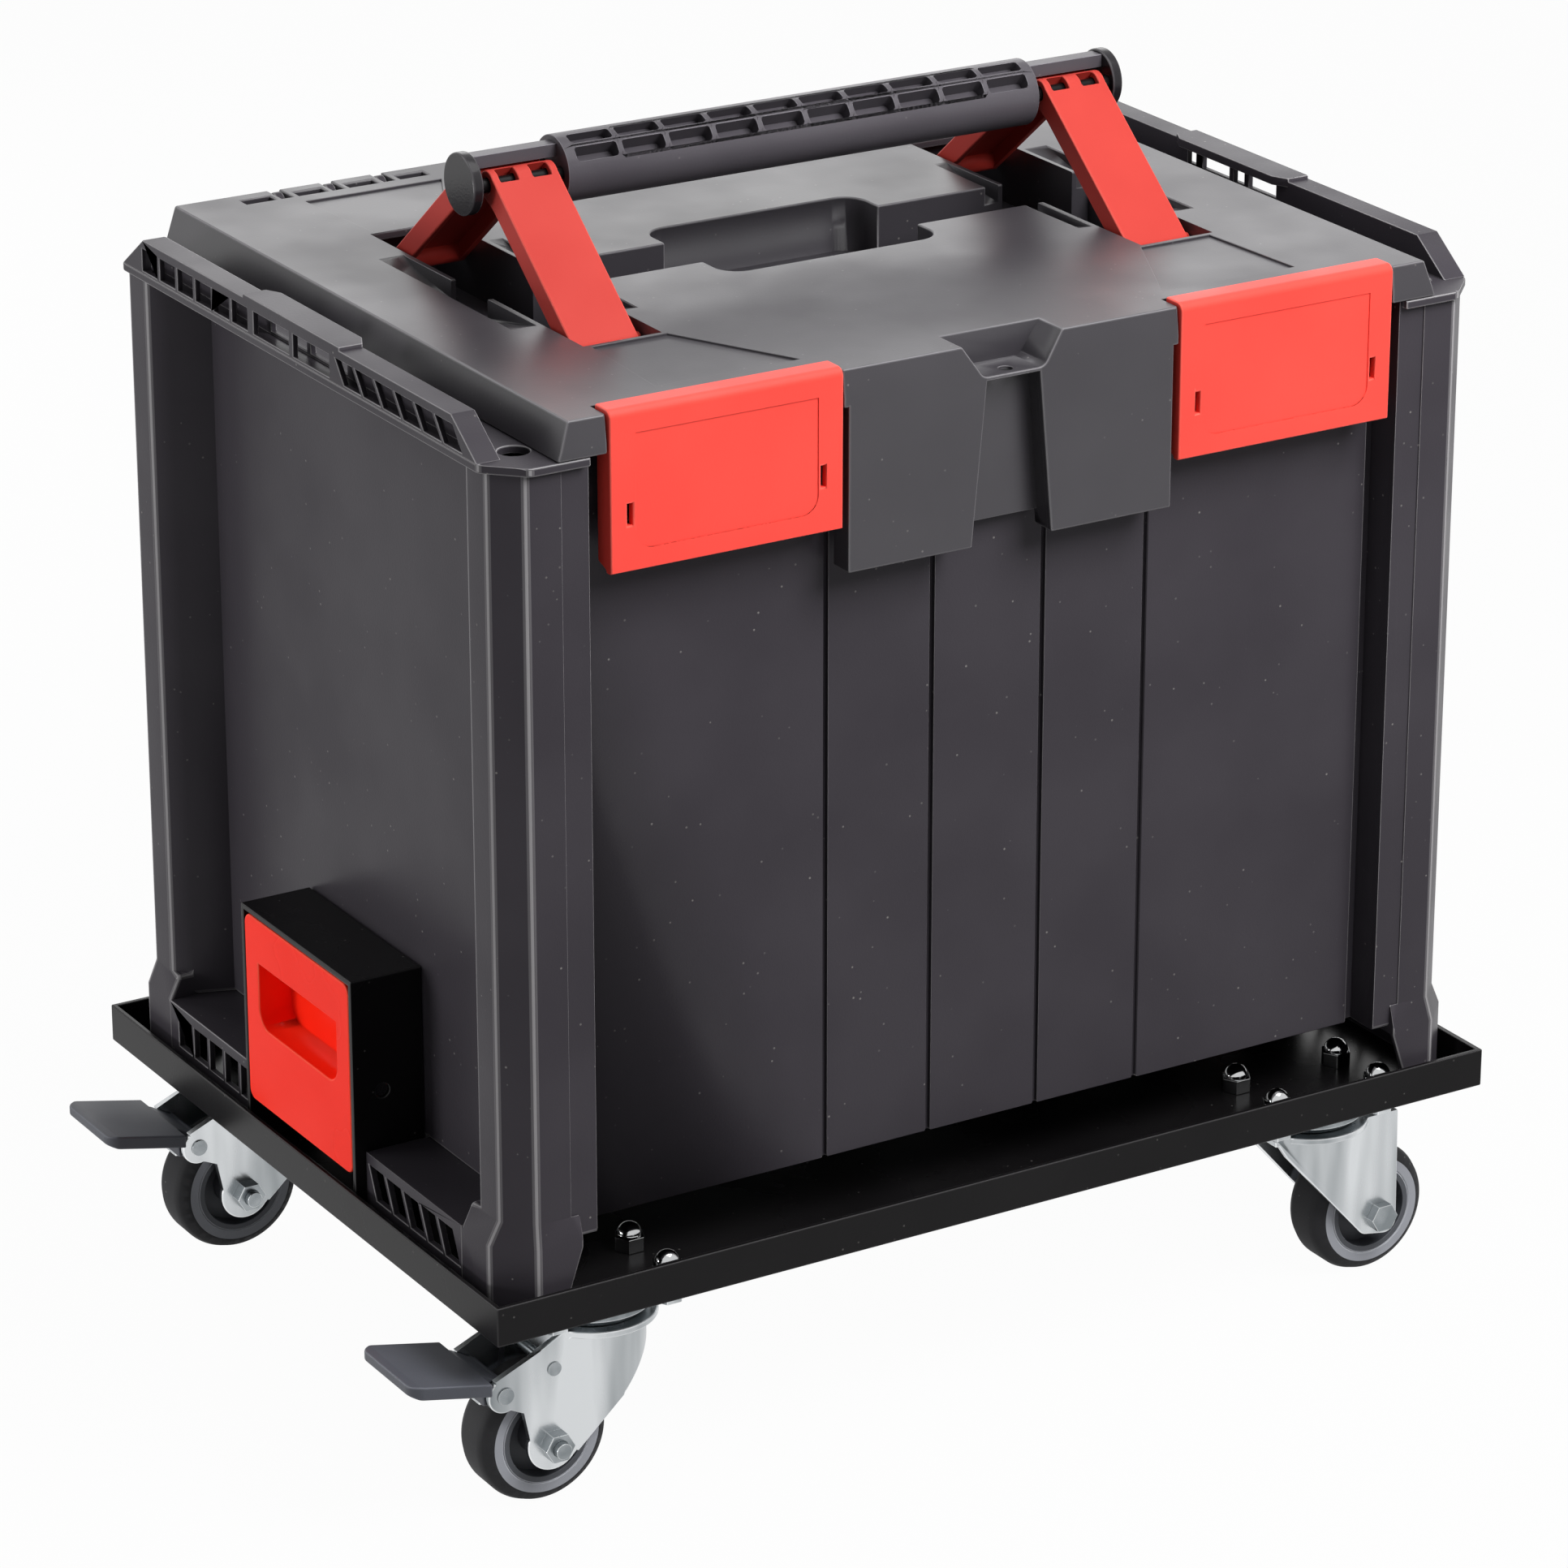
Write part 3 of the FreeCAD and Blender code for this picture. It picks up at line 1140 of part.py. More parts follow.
# Nose of a braked fork: a half-round wall that joins the cheeks in front of the swivel axis.
def make_fork_nose(fork, start, foot):
    end = f"{start} + fork_face"
    inside = "fork_inner_width / 2"
    ceiling = "fork_top - fork_sheet"
    high = f"fork_top * {FORK_NOSE_SHARE}"
    below = f"{foot} - overrun"
    fork.add_round("z", (start, "0"), "fork_face", foot, "fork_top")
    fork.cut_round("z", [(start, "0")], inside, below, ceiling)
    fork.cut("z", rectangle(f"{start} - fork_face", minus(inside), start, inside), below, ceiling)
    fork.cut("y", ((start, foot), (end, high), (f"{end} + overrun", high), (f"{end} + overrun", below),
                   (start, below)), "-fork_face - overrun", "fork_face + overrun")


# Castor: a bolted plate, a ball race on a kingpin, a stamped fork and a wheel behind the swivel axis.
def make_castor(name, sign, x, y):
    turn = "0" if sign < 0 else "180"
    floor = (x, y, "0")
    plate = Piece(f"castor_plate_{name}", at=floor)
    half_x = "castor_plate_length / 2"
    half_y = "castor_plate_width / 2"
    plate.add("z", rectangle(minus(half_x), minus(half_y), half_x, half_y), "plate_foot", "castor_height")
    plate.cut_round("z", [(f"{a} * bolt_pitch_x / 2", f"{b} * bolt_pitch_y / 2") for a in (-1, 1)
                          for b in (-1, 1)],
                    "(bolt_diameter + bolt_clearance) / 2", "plate_foot - overrun", "castor_height + overrun")
    plate.round_edges("z", [(f"{a} * {half_x}", f"{b} * {half_y}") for a in (-1, 1) for b in (-1, 1)],
                      "castor_plate_round")

    pin = Piece(f"kingpin_{name}", at=floor)
    shank = "kingpin_diameter / 2"
    pin.turn("z", (("0", "fork_top - fork_sheet - kingpin_head_height"),
                   ("kingpin_head_diameter / 2", "fork_top - fork_sheet - kingpin_head_height"),
                   ("kingpin_head_diameter / 2", "fork_top - fork_sheet - seat_gap"),
                   (shank, "fork_top - fork_sheet - seat_gap"), (shank, "fork_top + seat_gap"),
                   ("race_diameter / 2 - race_height / 2", "fork_top + seat_gap"),
                   ("race_diameter / 2", "fork_top + race_height / 2"),
                   ("race_diameter / 2 - race_height / 4", "plate_foot"), ("0", "plate_foot")))

    fork = Piece(f"castor_fork_{name}", at=floor, turn=turn)
    fork.add_round("z", ("0", "0"), "fork_crown_diameter / 2", "fork_top - fork_sheet", "fork_top")
    shares = BRAKED_FORK_SHARES if sign < 0 else PLAIN_FORK_SHARES
    outline = [(f"-castor_trail * {x_share}", f"fork_top * {z_share}") for x_share, z_share in shares]
    fork.add("z", rectangle(outline[-1][0], "-fork_face", outline[0][0], "fork_face"),
             "fork_top - fork_sheet",
             "fork_top")
    if sign < 0:
        make_fork_nose(fork, outline[0][0], outline[1][1])
    cheeks = (("-fork_face", "-fork_inner_width / 2"), ("fork_inner_width / 2", "fork_face"))
    for low, high in cheeks:
        fork.add("y", outline, low, high)
    if sign < 0:
        for low, high in cheeks:
            fork.add_round("y", ("-castor_trail", "axle_z"), "fork_axle_lobe_radius", low, high)
            fork.add_round("y", ("-pedal_rivet_x", "pedal_rivet_z"), "fork_rivet_lobe_radius", low, high)
        for place, diameter in BRAKE_RIVETS:
            fork.cut_round("y", [place], f"{diameter} / 2", "-fork_face - overrun", "fork_face + overrun")
    else:
        fork.round_edges("y", outline[2:4], "fork_toe_round")
    fork.cut_round("z", [("0", "0")], "kingpin_diameter / 2 + running_gap", "fork_top - fork_sheet - overrun",
                   "fork_top + overrun")
    fork.cut_round("y", [("-castor_trail", "axle_z")], "axle_diameter / 2", "-fork_face - overrun",
                   "fork_face + overrun")

    axle = f"{x} + {sign} * castor_trail"
    wheel = (axle, y, "axle_z")
    tread = Piece(f"tread_{name}", at=wheel)
    radius = "wheel_diameter / 2"
    tread.turn("y", (("tread_seat_radius", "-tread_width / 2"),
                     (f"{radius} - tread_shoulder", "-tread_width / 2"),
                     (f"{radius} - tread_shoulder / 4", "-tread_width / 2 + tread_shoulder / 2"),
                     (radius, "-tread_width / 4"), (radius, "tread_width / 4"),
                     (f"{radius} - tread_shoulder / 4", "tread_width / 2 - tread_shoulder / 2"),
                     (f"{radius} - tread_shoulder", "tread_width / 2"),
                     ("tread_seat_radius", "tread_width / 2")))
    hub = Piece(f"wheel_hub_{name}", at=wheel)
    bore = "axle_diameter / 2 + running_gap"
    flank = "tread_seat_radius - hub_rim_wall"
    hub.turn("y", ((bore, "-hub_width / 2"), ("hub_boss_radius", "-hub_width / 2"),
                   ("hub_boss_radius", "-hub_web / 2"),
                   (flank, "-hub_web / 2"), (flank, "-tread_width / 2"),
                   ("tread_seat_radius", "-tread_width / 2"),
                   ("tread_seat_radius", "tread_width / 2"), (flank, "tread_width / 2"),
                   (flank, "hub_web / 2"),
                   ("hub_boss_radius", "hub_web / 2"), ("hub_boss_radius", "hub_width / 2"),
                   (bore, "hub_width / 2")))
    if sign < 0:
        nut_y = f"{y} - fork_face - axle_nut_height"
        head_y = f"{y} + fork_face"
        start_y = f"{nut_y} - axle_end"
    else:
        nut_y = f"{y} + fork_face"
        head_y = f"{y} - fork_face - axle_head_height"
        start_y = f"{y} - fork_face"
    bolt = joined(f"axle_body_{name}", [
        rod(f"axle_shank_{name}", "y", (axle, start_y, "axle_z"), "axle_diameter",
            "2 * fork_face + axle_nut_height + axle_end"),
        hexagon(f"axle_head_{name}", "y", (axle, head_y, "axle_z"), "axle_head_width", "axle_head_height")])
    nut = bored(f"axle_nut_{name}",
                hexagon(f"axle_nut_blank_{name}", "y", (axle, nut_y, "axle_z"), "axle_head_width",
                        "axle_nut_height"),
                rod(f"axle_nut_bore_{name}", "y", (axle, nut_y, "axle_z"), "axle_diameter",
                    "axle_nut_height"))
    group(f"axle_bolt_{name}", [bolt, nut])


# Brake: a foot pedal riveted between the fork's cheeks, with a steel strip under it that wedges on the tread.
BRAKE_RIVETS = ((("-pedal_rivet_x", "pedal_rivet_z"), "pedal_rivet_diameter"),
                (("-stop_rivet_x", "stop_rivet_z"), "stop_rivet_diameter"))


def make_brake(name, x, y):
    rivet = (f"{x} - pedal_rivet_x", y, "pedal_rivet_z")
    pedal = Piece(f"brake_pedal_{name}", at=rivet)
    neck = "fork_inner_width / 2 - pedal_side_gap"
    start = "fork_rivet_lobe_radius + side_gap"
    pedal.add_round("y", ("0", "0"), "pedal_boss_radius", minus(neck), neck)
    pedal.add("y", (("0", "-pedal_boss_radius"), (minus(start), "-pedal_boss_radius"),
                    (minus(start), "pedal_heel + pedal_thickness"), ("0", "pedal_boss_radius")),
              minus(neck), neck)
    wide = "pedal_width / 2"
    pedal.add("y", ((minus(start), "pedal_heel"),
                    ("-(pedal_reach - pedal_lip)", "pedal_rise - pedal_thickness"),
                    ("-pedal_reach", "pedal_rise - pedal_lip"), ("-pedal_reach", "pedal_rise"),
                    ("-(pedal_reach - pedal_lip)", "pedal_rise"),
                    (minus(start), "pedal_heel + pedal_thickness")), minus(wide), wide)
    pedal.cut_round("y", [("0", "0")], "pedal_rivet_diameter / 2 + running_gap", minus(neck), neck)
    pedal.round_edges("z", [("-pedal_reach", f"{side} * {wide}") for side in (-1, 1)], "pedal_round")
    strip = Piece(f"brake_strip_{name}", at=rivet)
    half = "brake_strip_width / 2"
    strip.add("y", rectangle("-brake_strip_length", "-pedal_boss_radius - brake_strip_sheet", "0",
                             "-pedal_boss_radius"), minus(half), half)
    pins = []
    for index, (place, diameter) in enumerate(BRAKE_RIVETS):
        def along(start_y, size, length, part):
            centre = (f"{x} + ({place[0]})", f"{y} + ({start_y})", place[1])
            return rod(f"brake_{part}_{index}_{name}", "y", centre, size, length)

        head = f"{diameter} + 2 * rivet_head_lip"
        pins.append(joined(f"brake_rivet_{index}_{name}", [
            along("-fork_face", diameter, "2 * fork_face", "shank"),
            along("-fork_face - rivet_head_height", head, "rivet_head_height", "near_head"),
            along("fork_face", head, "rivet_head_height", "far_head")]))
    group(f"brake_rivets_{name}", pins)


# Lock: a folded steel housing on the tray, with a red lever on trunnions that hooks over the tub's catch.
def make_lock(side, sign):
    turn = "0" if sign < 0 else "180"
    housing = Piece(f"lock_housing_{side}", turn=turn)
    half = "lock_width / 2"
    housing.add("y", rectangle("-lock_face", "tray_sheet", "-lock_back", "lock_top"), minus(half), half)
    housing.cut("y", rectangle("-lock_face - overrun", "tray_sheet - overrun", "-lock_back + overrun",
                               "lock_top - lock_sheet"), f"-({half} - lock_sheet)", f"{half} - lock_sheet")
    housing.cut_round("y", [("-lever_x", "lever_pivot_z")], "lever_trunnion_diameter / 2 + running_gap",
                      f"-({half} + overrun)", f"{half} + overrun")
    lever = Piece(f"lock_lever_{side}", at=(f"{sign} * lever_x", "0", "castor_height + lever_pivot_z"),
                  turn=turn)
    face = "lock_outset - lever_pivot_x"
    back = f"{face} - lever_plate"
    wide = "lever_width / 2"
    foot = "lever_foot_z - lever_pivot_z"
    top = "lock_top - lock_sheet - lever_top_gap - lever_pivot_z"
    lever.add("x", rectangle(minus(wide), foot, wide, top), minus(face), minus(back))
    lever.round_edges("x", [(f"{a} * {wide}", z) for a in (-1, 1) for z in (foot, top)], "lever_round")
    long = "recess_length / 2"
    low = "recess_foot_z - lever_pivot_z"
    high = "recess_top_z - lever_pivot_z"
    deep = f"-({face}) + recess_depth"
    lever.add("x", rectangle(f"-({long} + recess_sheet)", f"{low} - recess_sheet", f"{long} + recess_sheet",
                             f"{high} + recess_sheet"), f"-({face}) + lever_plate / 2",
              f"{deep} + recess_sheet")
    for low_y, high_y in ((minus(wide), f"-({wide} - lever_cheek)"), (f"{wide} - lever_cheek", wide)):
        lever.add("y", (("-lever_cheek_radius", "0"), (f"-({face}) + lever_plate / 2", "-lever_cheek_radius"),
                        (f"-({face}) + lever_plate / 2", "lever_cheek_radius"), ("0", "lever_cheek_radius"),
                        ("0", "-lever_cheek_radius")), low_y, high_y)
        lever.add_round("y", ("0", "0"), "lever_cheek_radius", low_y, high_y)
    tip = f"{half} - lever_trunnion_recess"
    for low_y, high_y in ((f"-({tip})", f"-({wide} - lever_cheek / 2)"), (f"{wide} - lever_cheek / 2", tip)):
        lever.add_round("y", ("0", "0"), "lever_trunnion_diameter / 2", low_y, high_y)
    lever.add("y", rectangle(f"-({face}) + lever_plate / 2", "nose_z - lever_pivot_z",
                             "lever_pivot_x - catch_depth + nose_bite",
                             "nose_z + nose_height - lever_pivot_z"),
              "-nose_width / 2", "nose_width / 2")
    lever.cut("x", rectangle(minus(long), low, long, high), f"-({face}) - overrun", deep)
    lever.round_edges("x", [(f"{a} * {long}", low) for a in (-1, 1)], "recess_round")


make_tub()
for side, sign in SIDES:
    for end, direction in (("front", -1), ("rear", 1)):
        make_runner(side, sign, end, direction)
    make_rail(side, sign)
make_lid()
group("lid_hinge_rod", [rod("hinge_rod", "x", ("-hinge_rod_length / 2", "hinge_y", "castor_height + hinge_z"),
                            "hinge_rod_diameter", "hinge_rod_length")])
for side, sign in SIDES:
    make_latch(side, sign)
    start = f"{signed(sign, 'latch_centre_x')} - latch_length / 2 - latch_end_gap - latch_cheek"
    group(f"latch_pin_{side}",
          [rod(f"latch_rod_{side}", "x", (start, "-latch_axis_y", "castor_height + latch_axis_z"),
               "latch_pin_diameter", "latch_length + 2 * (latch_end_gap + latch_cheek)")])
make_grip()
make_caps()
make_rods()
for side, sign in SIDES:
    for end, direction in (("front", -1), ("rear", 1)):
        make_arm(side, sign, end, direction)
make_tray()
make_fasteners()
for castor in castor_places():
    make_castor(*castor)
for name, sign, x, y in castor_places():
    if sign < 0:
        make_brake(name, x, y)
for side, sign in SIDES:
    make_lock(side, sign)

doc.recompute()
failed = [item.Name for item in doc.Objects if "Invalid" in item.State or "Error" in item.State]
failed += [item.Label for item in PIECES if item.Shape.isNull() or not item.Shape.isValid()]
if failed:
    raise RuntimeError("failed pieces: " + ", ".join(failed))
os.makedirs("parts", exist_ok=True)
for item in PIECES:
    item.Shape.exportStep(f"parts/{item.Label}.step")
print(len(PIECES), "pieces written")
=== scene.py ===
"""Dresses a moulded tool case, locked on its steel roller tray, for a studio picture."""

import json
import logging
import math
from dataclasses import dataclass, field
from enum import Enum
from typing import Any

import bmesh
import bpy
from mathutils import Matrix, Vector

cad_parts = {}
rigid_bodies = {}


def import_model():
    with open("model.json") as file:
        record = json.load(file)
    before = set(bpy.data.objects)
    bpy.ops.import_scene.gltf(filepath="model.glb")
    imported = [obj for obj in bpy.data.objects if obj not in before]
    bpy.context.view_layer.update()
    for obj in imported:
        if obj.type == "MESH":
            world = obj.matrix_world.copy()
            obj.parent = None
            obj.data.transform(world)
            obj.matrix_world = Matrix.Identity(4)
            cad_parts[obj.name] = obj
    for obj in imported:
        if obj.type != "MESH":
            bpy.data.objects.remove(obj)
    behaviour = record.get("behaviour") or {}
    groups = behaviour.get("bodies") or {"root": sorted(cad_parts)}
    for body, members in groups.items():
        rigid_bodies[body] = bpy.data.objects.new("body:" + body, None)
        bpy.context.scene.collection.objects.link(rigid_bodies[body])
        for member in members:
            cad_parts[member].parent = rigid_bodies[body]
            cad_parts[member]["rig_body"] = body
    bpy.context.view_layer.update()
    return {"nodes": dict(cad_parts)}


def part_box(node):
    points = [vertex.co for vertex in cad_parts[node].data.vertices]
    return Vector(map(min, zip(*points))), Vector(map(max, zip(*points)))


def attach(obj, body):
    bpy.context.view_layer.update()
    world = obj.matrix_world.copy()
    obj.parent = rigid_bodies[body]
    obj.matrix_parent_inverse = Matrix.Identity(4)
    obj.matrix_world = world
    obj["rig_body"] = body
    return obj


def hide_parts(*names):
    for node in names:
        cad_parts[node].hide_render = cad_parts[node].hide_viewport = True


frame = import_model()
LOG = logging.getLogger("tool_case")
MM = 0.001
Point = tuple[float, float, float]
# Name of the mesh layer that says how far a face takes the edge colour, which paints edge wear and
# a highlight.
EDGE = "edge_wear_and_painted_highlight"
# Noise keeps near its middle, so this span of it is stretched over the whole drift.
DRIFT_SPAN = (0.36, 0.64)


class Side(Enum):
    """Sides of the case, seen from its front."""

    LEFT = "left"
    RIGHT = "right"


class End(Enum):
    """Ends of a side, from the front to the rear."""

    FRONT = "front"
    REAR = "rear"


class Making(Enum):
    """How a piece is made.

    This names the piece and sets how far its edges are eased, in millimetres, widest first.
    """

    MOULDED_DEEP = ("moulded_deep", (1.5, 0.6, 0.2))
    MOULDED = ("moulded", (0.7, 0.3))
    MOULDED_THIN = ("moulded_thin", (0.4, 0.2))
    MOULDED_FINE = ("moulded_fine", (0.25,))
    FOLDED = ("folded", (0.5, 0.2))
    PRESSED = ("pressed", (0.6, 0.3))
    TURNED = ("turned", (0.3, 0.15))
    CAST = ("cast", (0.6, 0.3))

    @property
    def word(self) -> str:
        """The word that names a piece made this way."""
        return self.value[0]

    @property
    def eases_mm(self) -> tuple[float, ...]:
        """How far the edges of a piece made this way are eased."""
        return self.value[1]


def linear(code: str) -> tuple[float, float, float, float]:
    """Turn an sRGB hex colour into linear light.

    Args:
        code: Six hex digits, with or without a leading hash.

    Returns:
        Red, green, blue and an alpha of 1.
    """
    digits = code.lstrip("#")
    shares = [int(digits[i:i + 2], 16) / 255 for i in (0, 2, 4)]
    red, green, blue = (c / 12.92 if c <= 0.04045 else ((c + 0.055) / 1.055) ** 2.4
                        for c in shares)
    return red, green, blue, 1.0


def per_metre(size_mm: float) -> float:
    """Give the texture scale whose pattern repeats about every size_mm."""
    return 1 / (size_mm * MM)


def add_node(tree: bpy.types.NodeTree, kind: str, inputs: dict[str | int, Any] | None = None,
             **settings: Any) -> bpy.types.Node:
    """Add a shader node with its settings, constants and links.

    Args:
        tree: Node tree that takes the node.
        kind: Blender's type name of the node.
        inputs: Values or output sockets, by the name or number of the input.
        settings: Attributes set on the node before its inputs.

    Returns:
        The new node.
    """
    node = tree.nodes.new(kind)
    for name, value in settings.items():
        setattr(node, name, value)
    for name, value in (inputs or {}).items():
        if isinstance(value, bpy.types.NodeSocket):
            tree.links.new(value, node.inputs[name])
        else:
            node.inputs[name].default_value = value
    return node


@dataclass(frozen=True)
class Dust:
    """Pale specks that settle in a moulded grain and gather in loose patches.

    Attributes:
        colour: Colour of a speck, sRGB hex.
        spacing_mm: Distance between specks.
        patch_mm: Size of the patches that they gather in.
        reach: Where a speck ends and where it is full, from its middle, in spacings. Real specks
            are too fine to show, so these are drawn under a millimetre wide.
        gather: Noise level at which a patch starts to show its specks, and shows them in full.
    """

    colour: str = "#8d8a87"
    spacing_mm: float = 5.5
    patch_mm: float = 15.4
    reach: tuple[float, float] = (0.09, 0.05)
    gather: tuple[float, float] = (0.45, 0.6)

    def specks(self, tree: bpy.types.NodeTree, place: bpy.types.NodeSocket,
               share: float) -> bpy.types.NodeSocket:
        """Scatter the specks.

        Args:
            tree: The material's node tree.
            place: Coordinates on the piece.
            share: How strongly a speck covers what is below it, from 0 to 1.

        Returns:
            Strength of the specks, from 0 to that share.
        """
        cells = add_node(tree, "ShaderNodeTexVoronoi", {
            "Vector": place, "Scale": per_metre(self.spacing_mm), "Randomness": 1.0})
        dots = add_node(tree, "ShaderNodeMapRange", {
            "Value": cells.outputs["Distance"], "From Min": self.reach[0],
            "From Max": self.reach[1]})
        patches = add_node(tree, "ShaderNodeTexNoise", {
            "Vector": place, "Scale": per_metre(self.patch_mm), "Detail": 2.0})
        shown = add_node(tree, "ShaderNodeMapRange", {
            "Value": patches.outputs["Fac"], "From Min": self.gather[0],
            "From Max": self.gather[1], "To Max": share})
        both = {0: dots.outputs["Result"], 1: shown.outputs["Result"]}
        return add_node(tree, "ShaderNodeMath", both, operation="MULTIPLY").outputs["Value"]


DUST = Dust()


@dataclass(frozen=True)
class Finish:
    """A real material and how its surface was made.

    Attributes:
        name: Common name of the material and its making.
        slot: The record's material slot. Not used.
        colour: Colour of most of the surface, sRGB hex.
        shade: Colour that it drifts towards, sRGB hex.
        edge: Colour of its rounded edges, sRGB hex, which paints edge wear and a highlight.
        roughness: Middle roughness.
        rough_swing: How far the roughness drifts either way.
        specular: Strength of the clear reflection, where 0.5 is that of the IOR.
        ior: Typical of these plastics and coats, and the default that a metal keeps.
        metallic: 1 for bare metal.
        drift_mm: Size of the soft patches in colour and roughness.
        drift_rise: How many times taller than wide those patches are.
        grain_mm: Size of the surface's own texture. A moulded grain is really about 0.2 mm, and is
            drawn coarser so that it shows.
        relief_mm: Height of that texture.
        dust: How strongly specks of dust cover the surface, from 0 to 1.
    """

    name: str
    slot: str
    colour: str
    shade: str
    edge: str
    roughness: float
    rough_swing: float = 0.05
    specular: float = 0.5
    ior: float = 1.5
    metallic: float = 0.0
    drift_mm: float = 60.0
    drift_rise: float = 1.0
    grain_mm: float = 0.8
    relief_mm: float = 0.03
    dust: float = 0.0

    def material(self) -> bpy.types.Material:
        """Return the material, made the first time that it is asked for."""
        return bpy.data.materials.get(self.name) or self.make()

    def make(self) -> bpy.types.Material:
        """Make the material's nodes.

        Returns:
            The new material.
        """
        material = bpy.data.materials.new(self.name)
        material.use_nodes = True
        tree = material.node_tree
        tree.nodes.clear()
        place = add_node(tree, "ShaderNodeTexCoord").outputs["Object"]
        tall = add_node(tree, "ShaderNodeMapping", {
            "Vector": place, "Scale": (1.0, 1.0, 1 / self.drift_rise)}).outputs["Vector"]
        drift = add_node(tree, "ShaderNodeTexNoise", {
            "Vector": tall, "Scale": per_metre(self.drift_mm), "Detail": 3.0}).outputs["Fac"]
        grain = add_node(tree, "ShaderNodeTexNoise", {
            "Vector": place, "Scale": per_metre(self.grain_mm), "Detail": 2.0}).outputs["Fac"]
        # This layer paints edge wear and a highlight along the rounded edges, in the edge colour.
        wear_and_highlight = add_node(tree, "ShaderNodeAttribute", attribute_name=EDGE).outputs["Fac"]
        patches = add_node(tree, "ShaderNodeMapRange", {
            "Value": drift, "From Min": DRIFT_SPAN[0],
            "From Max": DRIFT_SPAN[1]}).outputs["Result"]
        layers = [(patches, self.shade), (wear_and_highlight, self.edge)]
        if self.dust:
            layers.insert(1, (DUST.specks(tree, place, self.dust), DUST.colour))
        colour = linear(self.colour)
        for share, upper in layers:
            # Sockets of this node share their names, so shares, colours and result go by number.
            colour = add_node(tree, "ShaderNodeMix", {0: share, 6: colour, 7: linear(upper)},
                              data_type="RGBA").outputs[2]
        rough = add_node(tree, "ShaderNodeMapRange", {
            "Value": patches, "To Min": self.roughness - self.rough_swing,
            "To Max": self.roughness + self.rough_swing}).outputs["Result"]
        relief = add_node(tree, "ShaderNodeBump", {
            "Height": grain, "Distance": self.relief_mm * MM, "Strength": 1.0}).outputs["Normal"]
        surface = add_node(tree, "ShaderNodeBsdfPrincipled", {
            "Base Color": colour, "Roughness": rough, "Normal": relief, "IOR": self.ior,
            "Metallic": self.metallic, "Specular IOR Level": self.specular})
        add_node(tree, "ShaderNodeOutputMaterial", {"Surface": surface.outputs["BSDF"]})
        return material


# Black polypropylene, moulded in a spark-eroded tool: a dark grained body under a soft grey sheen,
# with dust in the grain and grey edges that paint wear and a highlight.
CASE_BLACK = Finish("polypropylene_black_grained", "case_plastic", "#39363b", "#343136", "#8a888a",
                    0.34, specular=0.1, dust=0.55)
# The same polypropylene against smoother steel: the lid shows more of the softboxes above it.
LID_BLACK = Finish("polypropylene_black_satin", "case_plastic", "#343236", "#2f2d31", "#646265",
                   0.36, specular=0.5, relief_mm=0.02, dust=0.35)
# The same polypropylene, drawn a paler black as painted sheen in place of a lamp's highlight, with
# a broad soft gloss.
GRIP_BLACK = Finish("polypropylene_black_painted_sheen", "case_plastic", "#48454a", "#403d42", "#77747a",
                    0.4, specular=0.3, dust=0.2)
# The same polypropylene against polished steel: near black, with small clear lights.
CAP_BLACK = Finish("polypropylene_black_gloss", "case_plastic", "#1c1a1d", "#171518", "#4a484b",
                   0.22, specular=0.3)
# Red ABS, moulded against satin steel: an even warm red with a broad soft gloss.
SATIN_RED = Finish("abs_red_satin", "red_plastic", "#e6453b", "#e04138", "#ee5c50", 0.42,
                   specular=0.3)
# Red ABS, moulded against blasted steel: the latches' red drawn darker as painted shade on the
# arms, whose upturned faces the lamps light more, with paler edges that paint wear and a highlight.
MATT_RED = Finish("abs_red_matt_painted_shade", "red_plastic", "#b0362e", "#a9322b", "#c64e45", 0.48,
                  specular=0.25)
# Red ABS, moulded against polished steel: a full red, with small lights on its edges, partly a
# highlight painted in its edge colour.
GLOSS_RED = Finish("abs_red_polished", "red_plastic", "#ff2c17", "#f92814", "#ff5a44", 0.24,
                   specular=0.05)
# Black powder coat, baked on folded steel: deep black with a faint orange peel.
COAT_BLACK = Finish("powder_coat_black", "powder_coat", "#0f0e0f", "#131213", "#3a393a", 0.26,
                    specular=0.12, grain_mm=1.6, relief_mm=0.02, dust=0.25)
# Zinc, plated bright on pressed steel: pale metal, with soft tall bands of painted reflection drawn
# light and dark down the sides.
ZINC = Finish("zinc_plate_bright_painted_reflection", "zinc_steel", "#d8dbdd", "#858b8e", "#eceeef", 0.3,
              metallic=1.0, drift_mm=24.0, drift_rise=7.0, grain_mm=2.5, relief_mm=0.004)
# Zinc, plated dull on turned steel: darker metal that sets nuts and rivets off from the sheet.
ZINC_DULL = Finish("zinc_plate_dull", "zinc_steel", "#9ea3a6", "#83898c", "#d0d3d4", 0.28,
                   metallic=1.0, drift_mm=9.0, relief_mm=0.01)
# Chrome, plated on turned nuts: a clear mirror.
CHROME = Finish("chrome_plate_polished", "chrome_steel", "#c9cacb", "#bfc0c1", "#dcdddd", 0.1,
                rough_swing=0.02, metallic=1.0, relief_mm=0.005)
# Grey thermoplastic rubber, moulded: matt and slightly dusty.
TREAD = Finish("rubber_tread_grey", "tread_rubber", "#29292b", "#242426", "#333335", 0.7,
               specular=0.2, dust=0.3)
# Pale grey polypropylene, moulded: the soft even rim of the wheel.
HUB_PALE = Finish("polypropylene_pale_grey", "hub_plastic", "#9799a0", "#8f9197", "#a8aab0", 0.45,
                  specular=0.3)
# Dark grey polypropylene, moulded: the sunk disc of the wheel, which takes little light.
HUB_DARK = Finish("polypropylene_dark_grey", "hub_plastic", "#4b4d52", "#44464b", "#595b60", 0.5,
                  specular=0.3)
# Grey nylon, moulded: matt brake pedals with paler edges that paint wear and a highlight.
PEDAL = Finish("nylon_grey_matt", "pedal_plastic", "#4a4c53", "#43454c", "#5e6067", 0.5,
               specular=0.35)


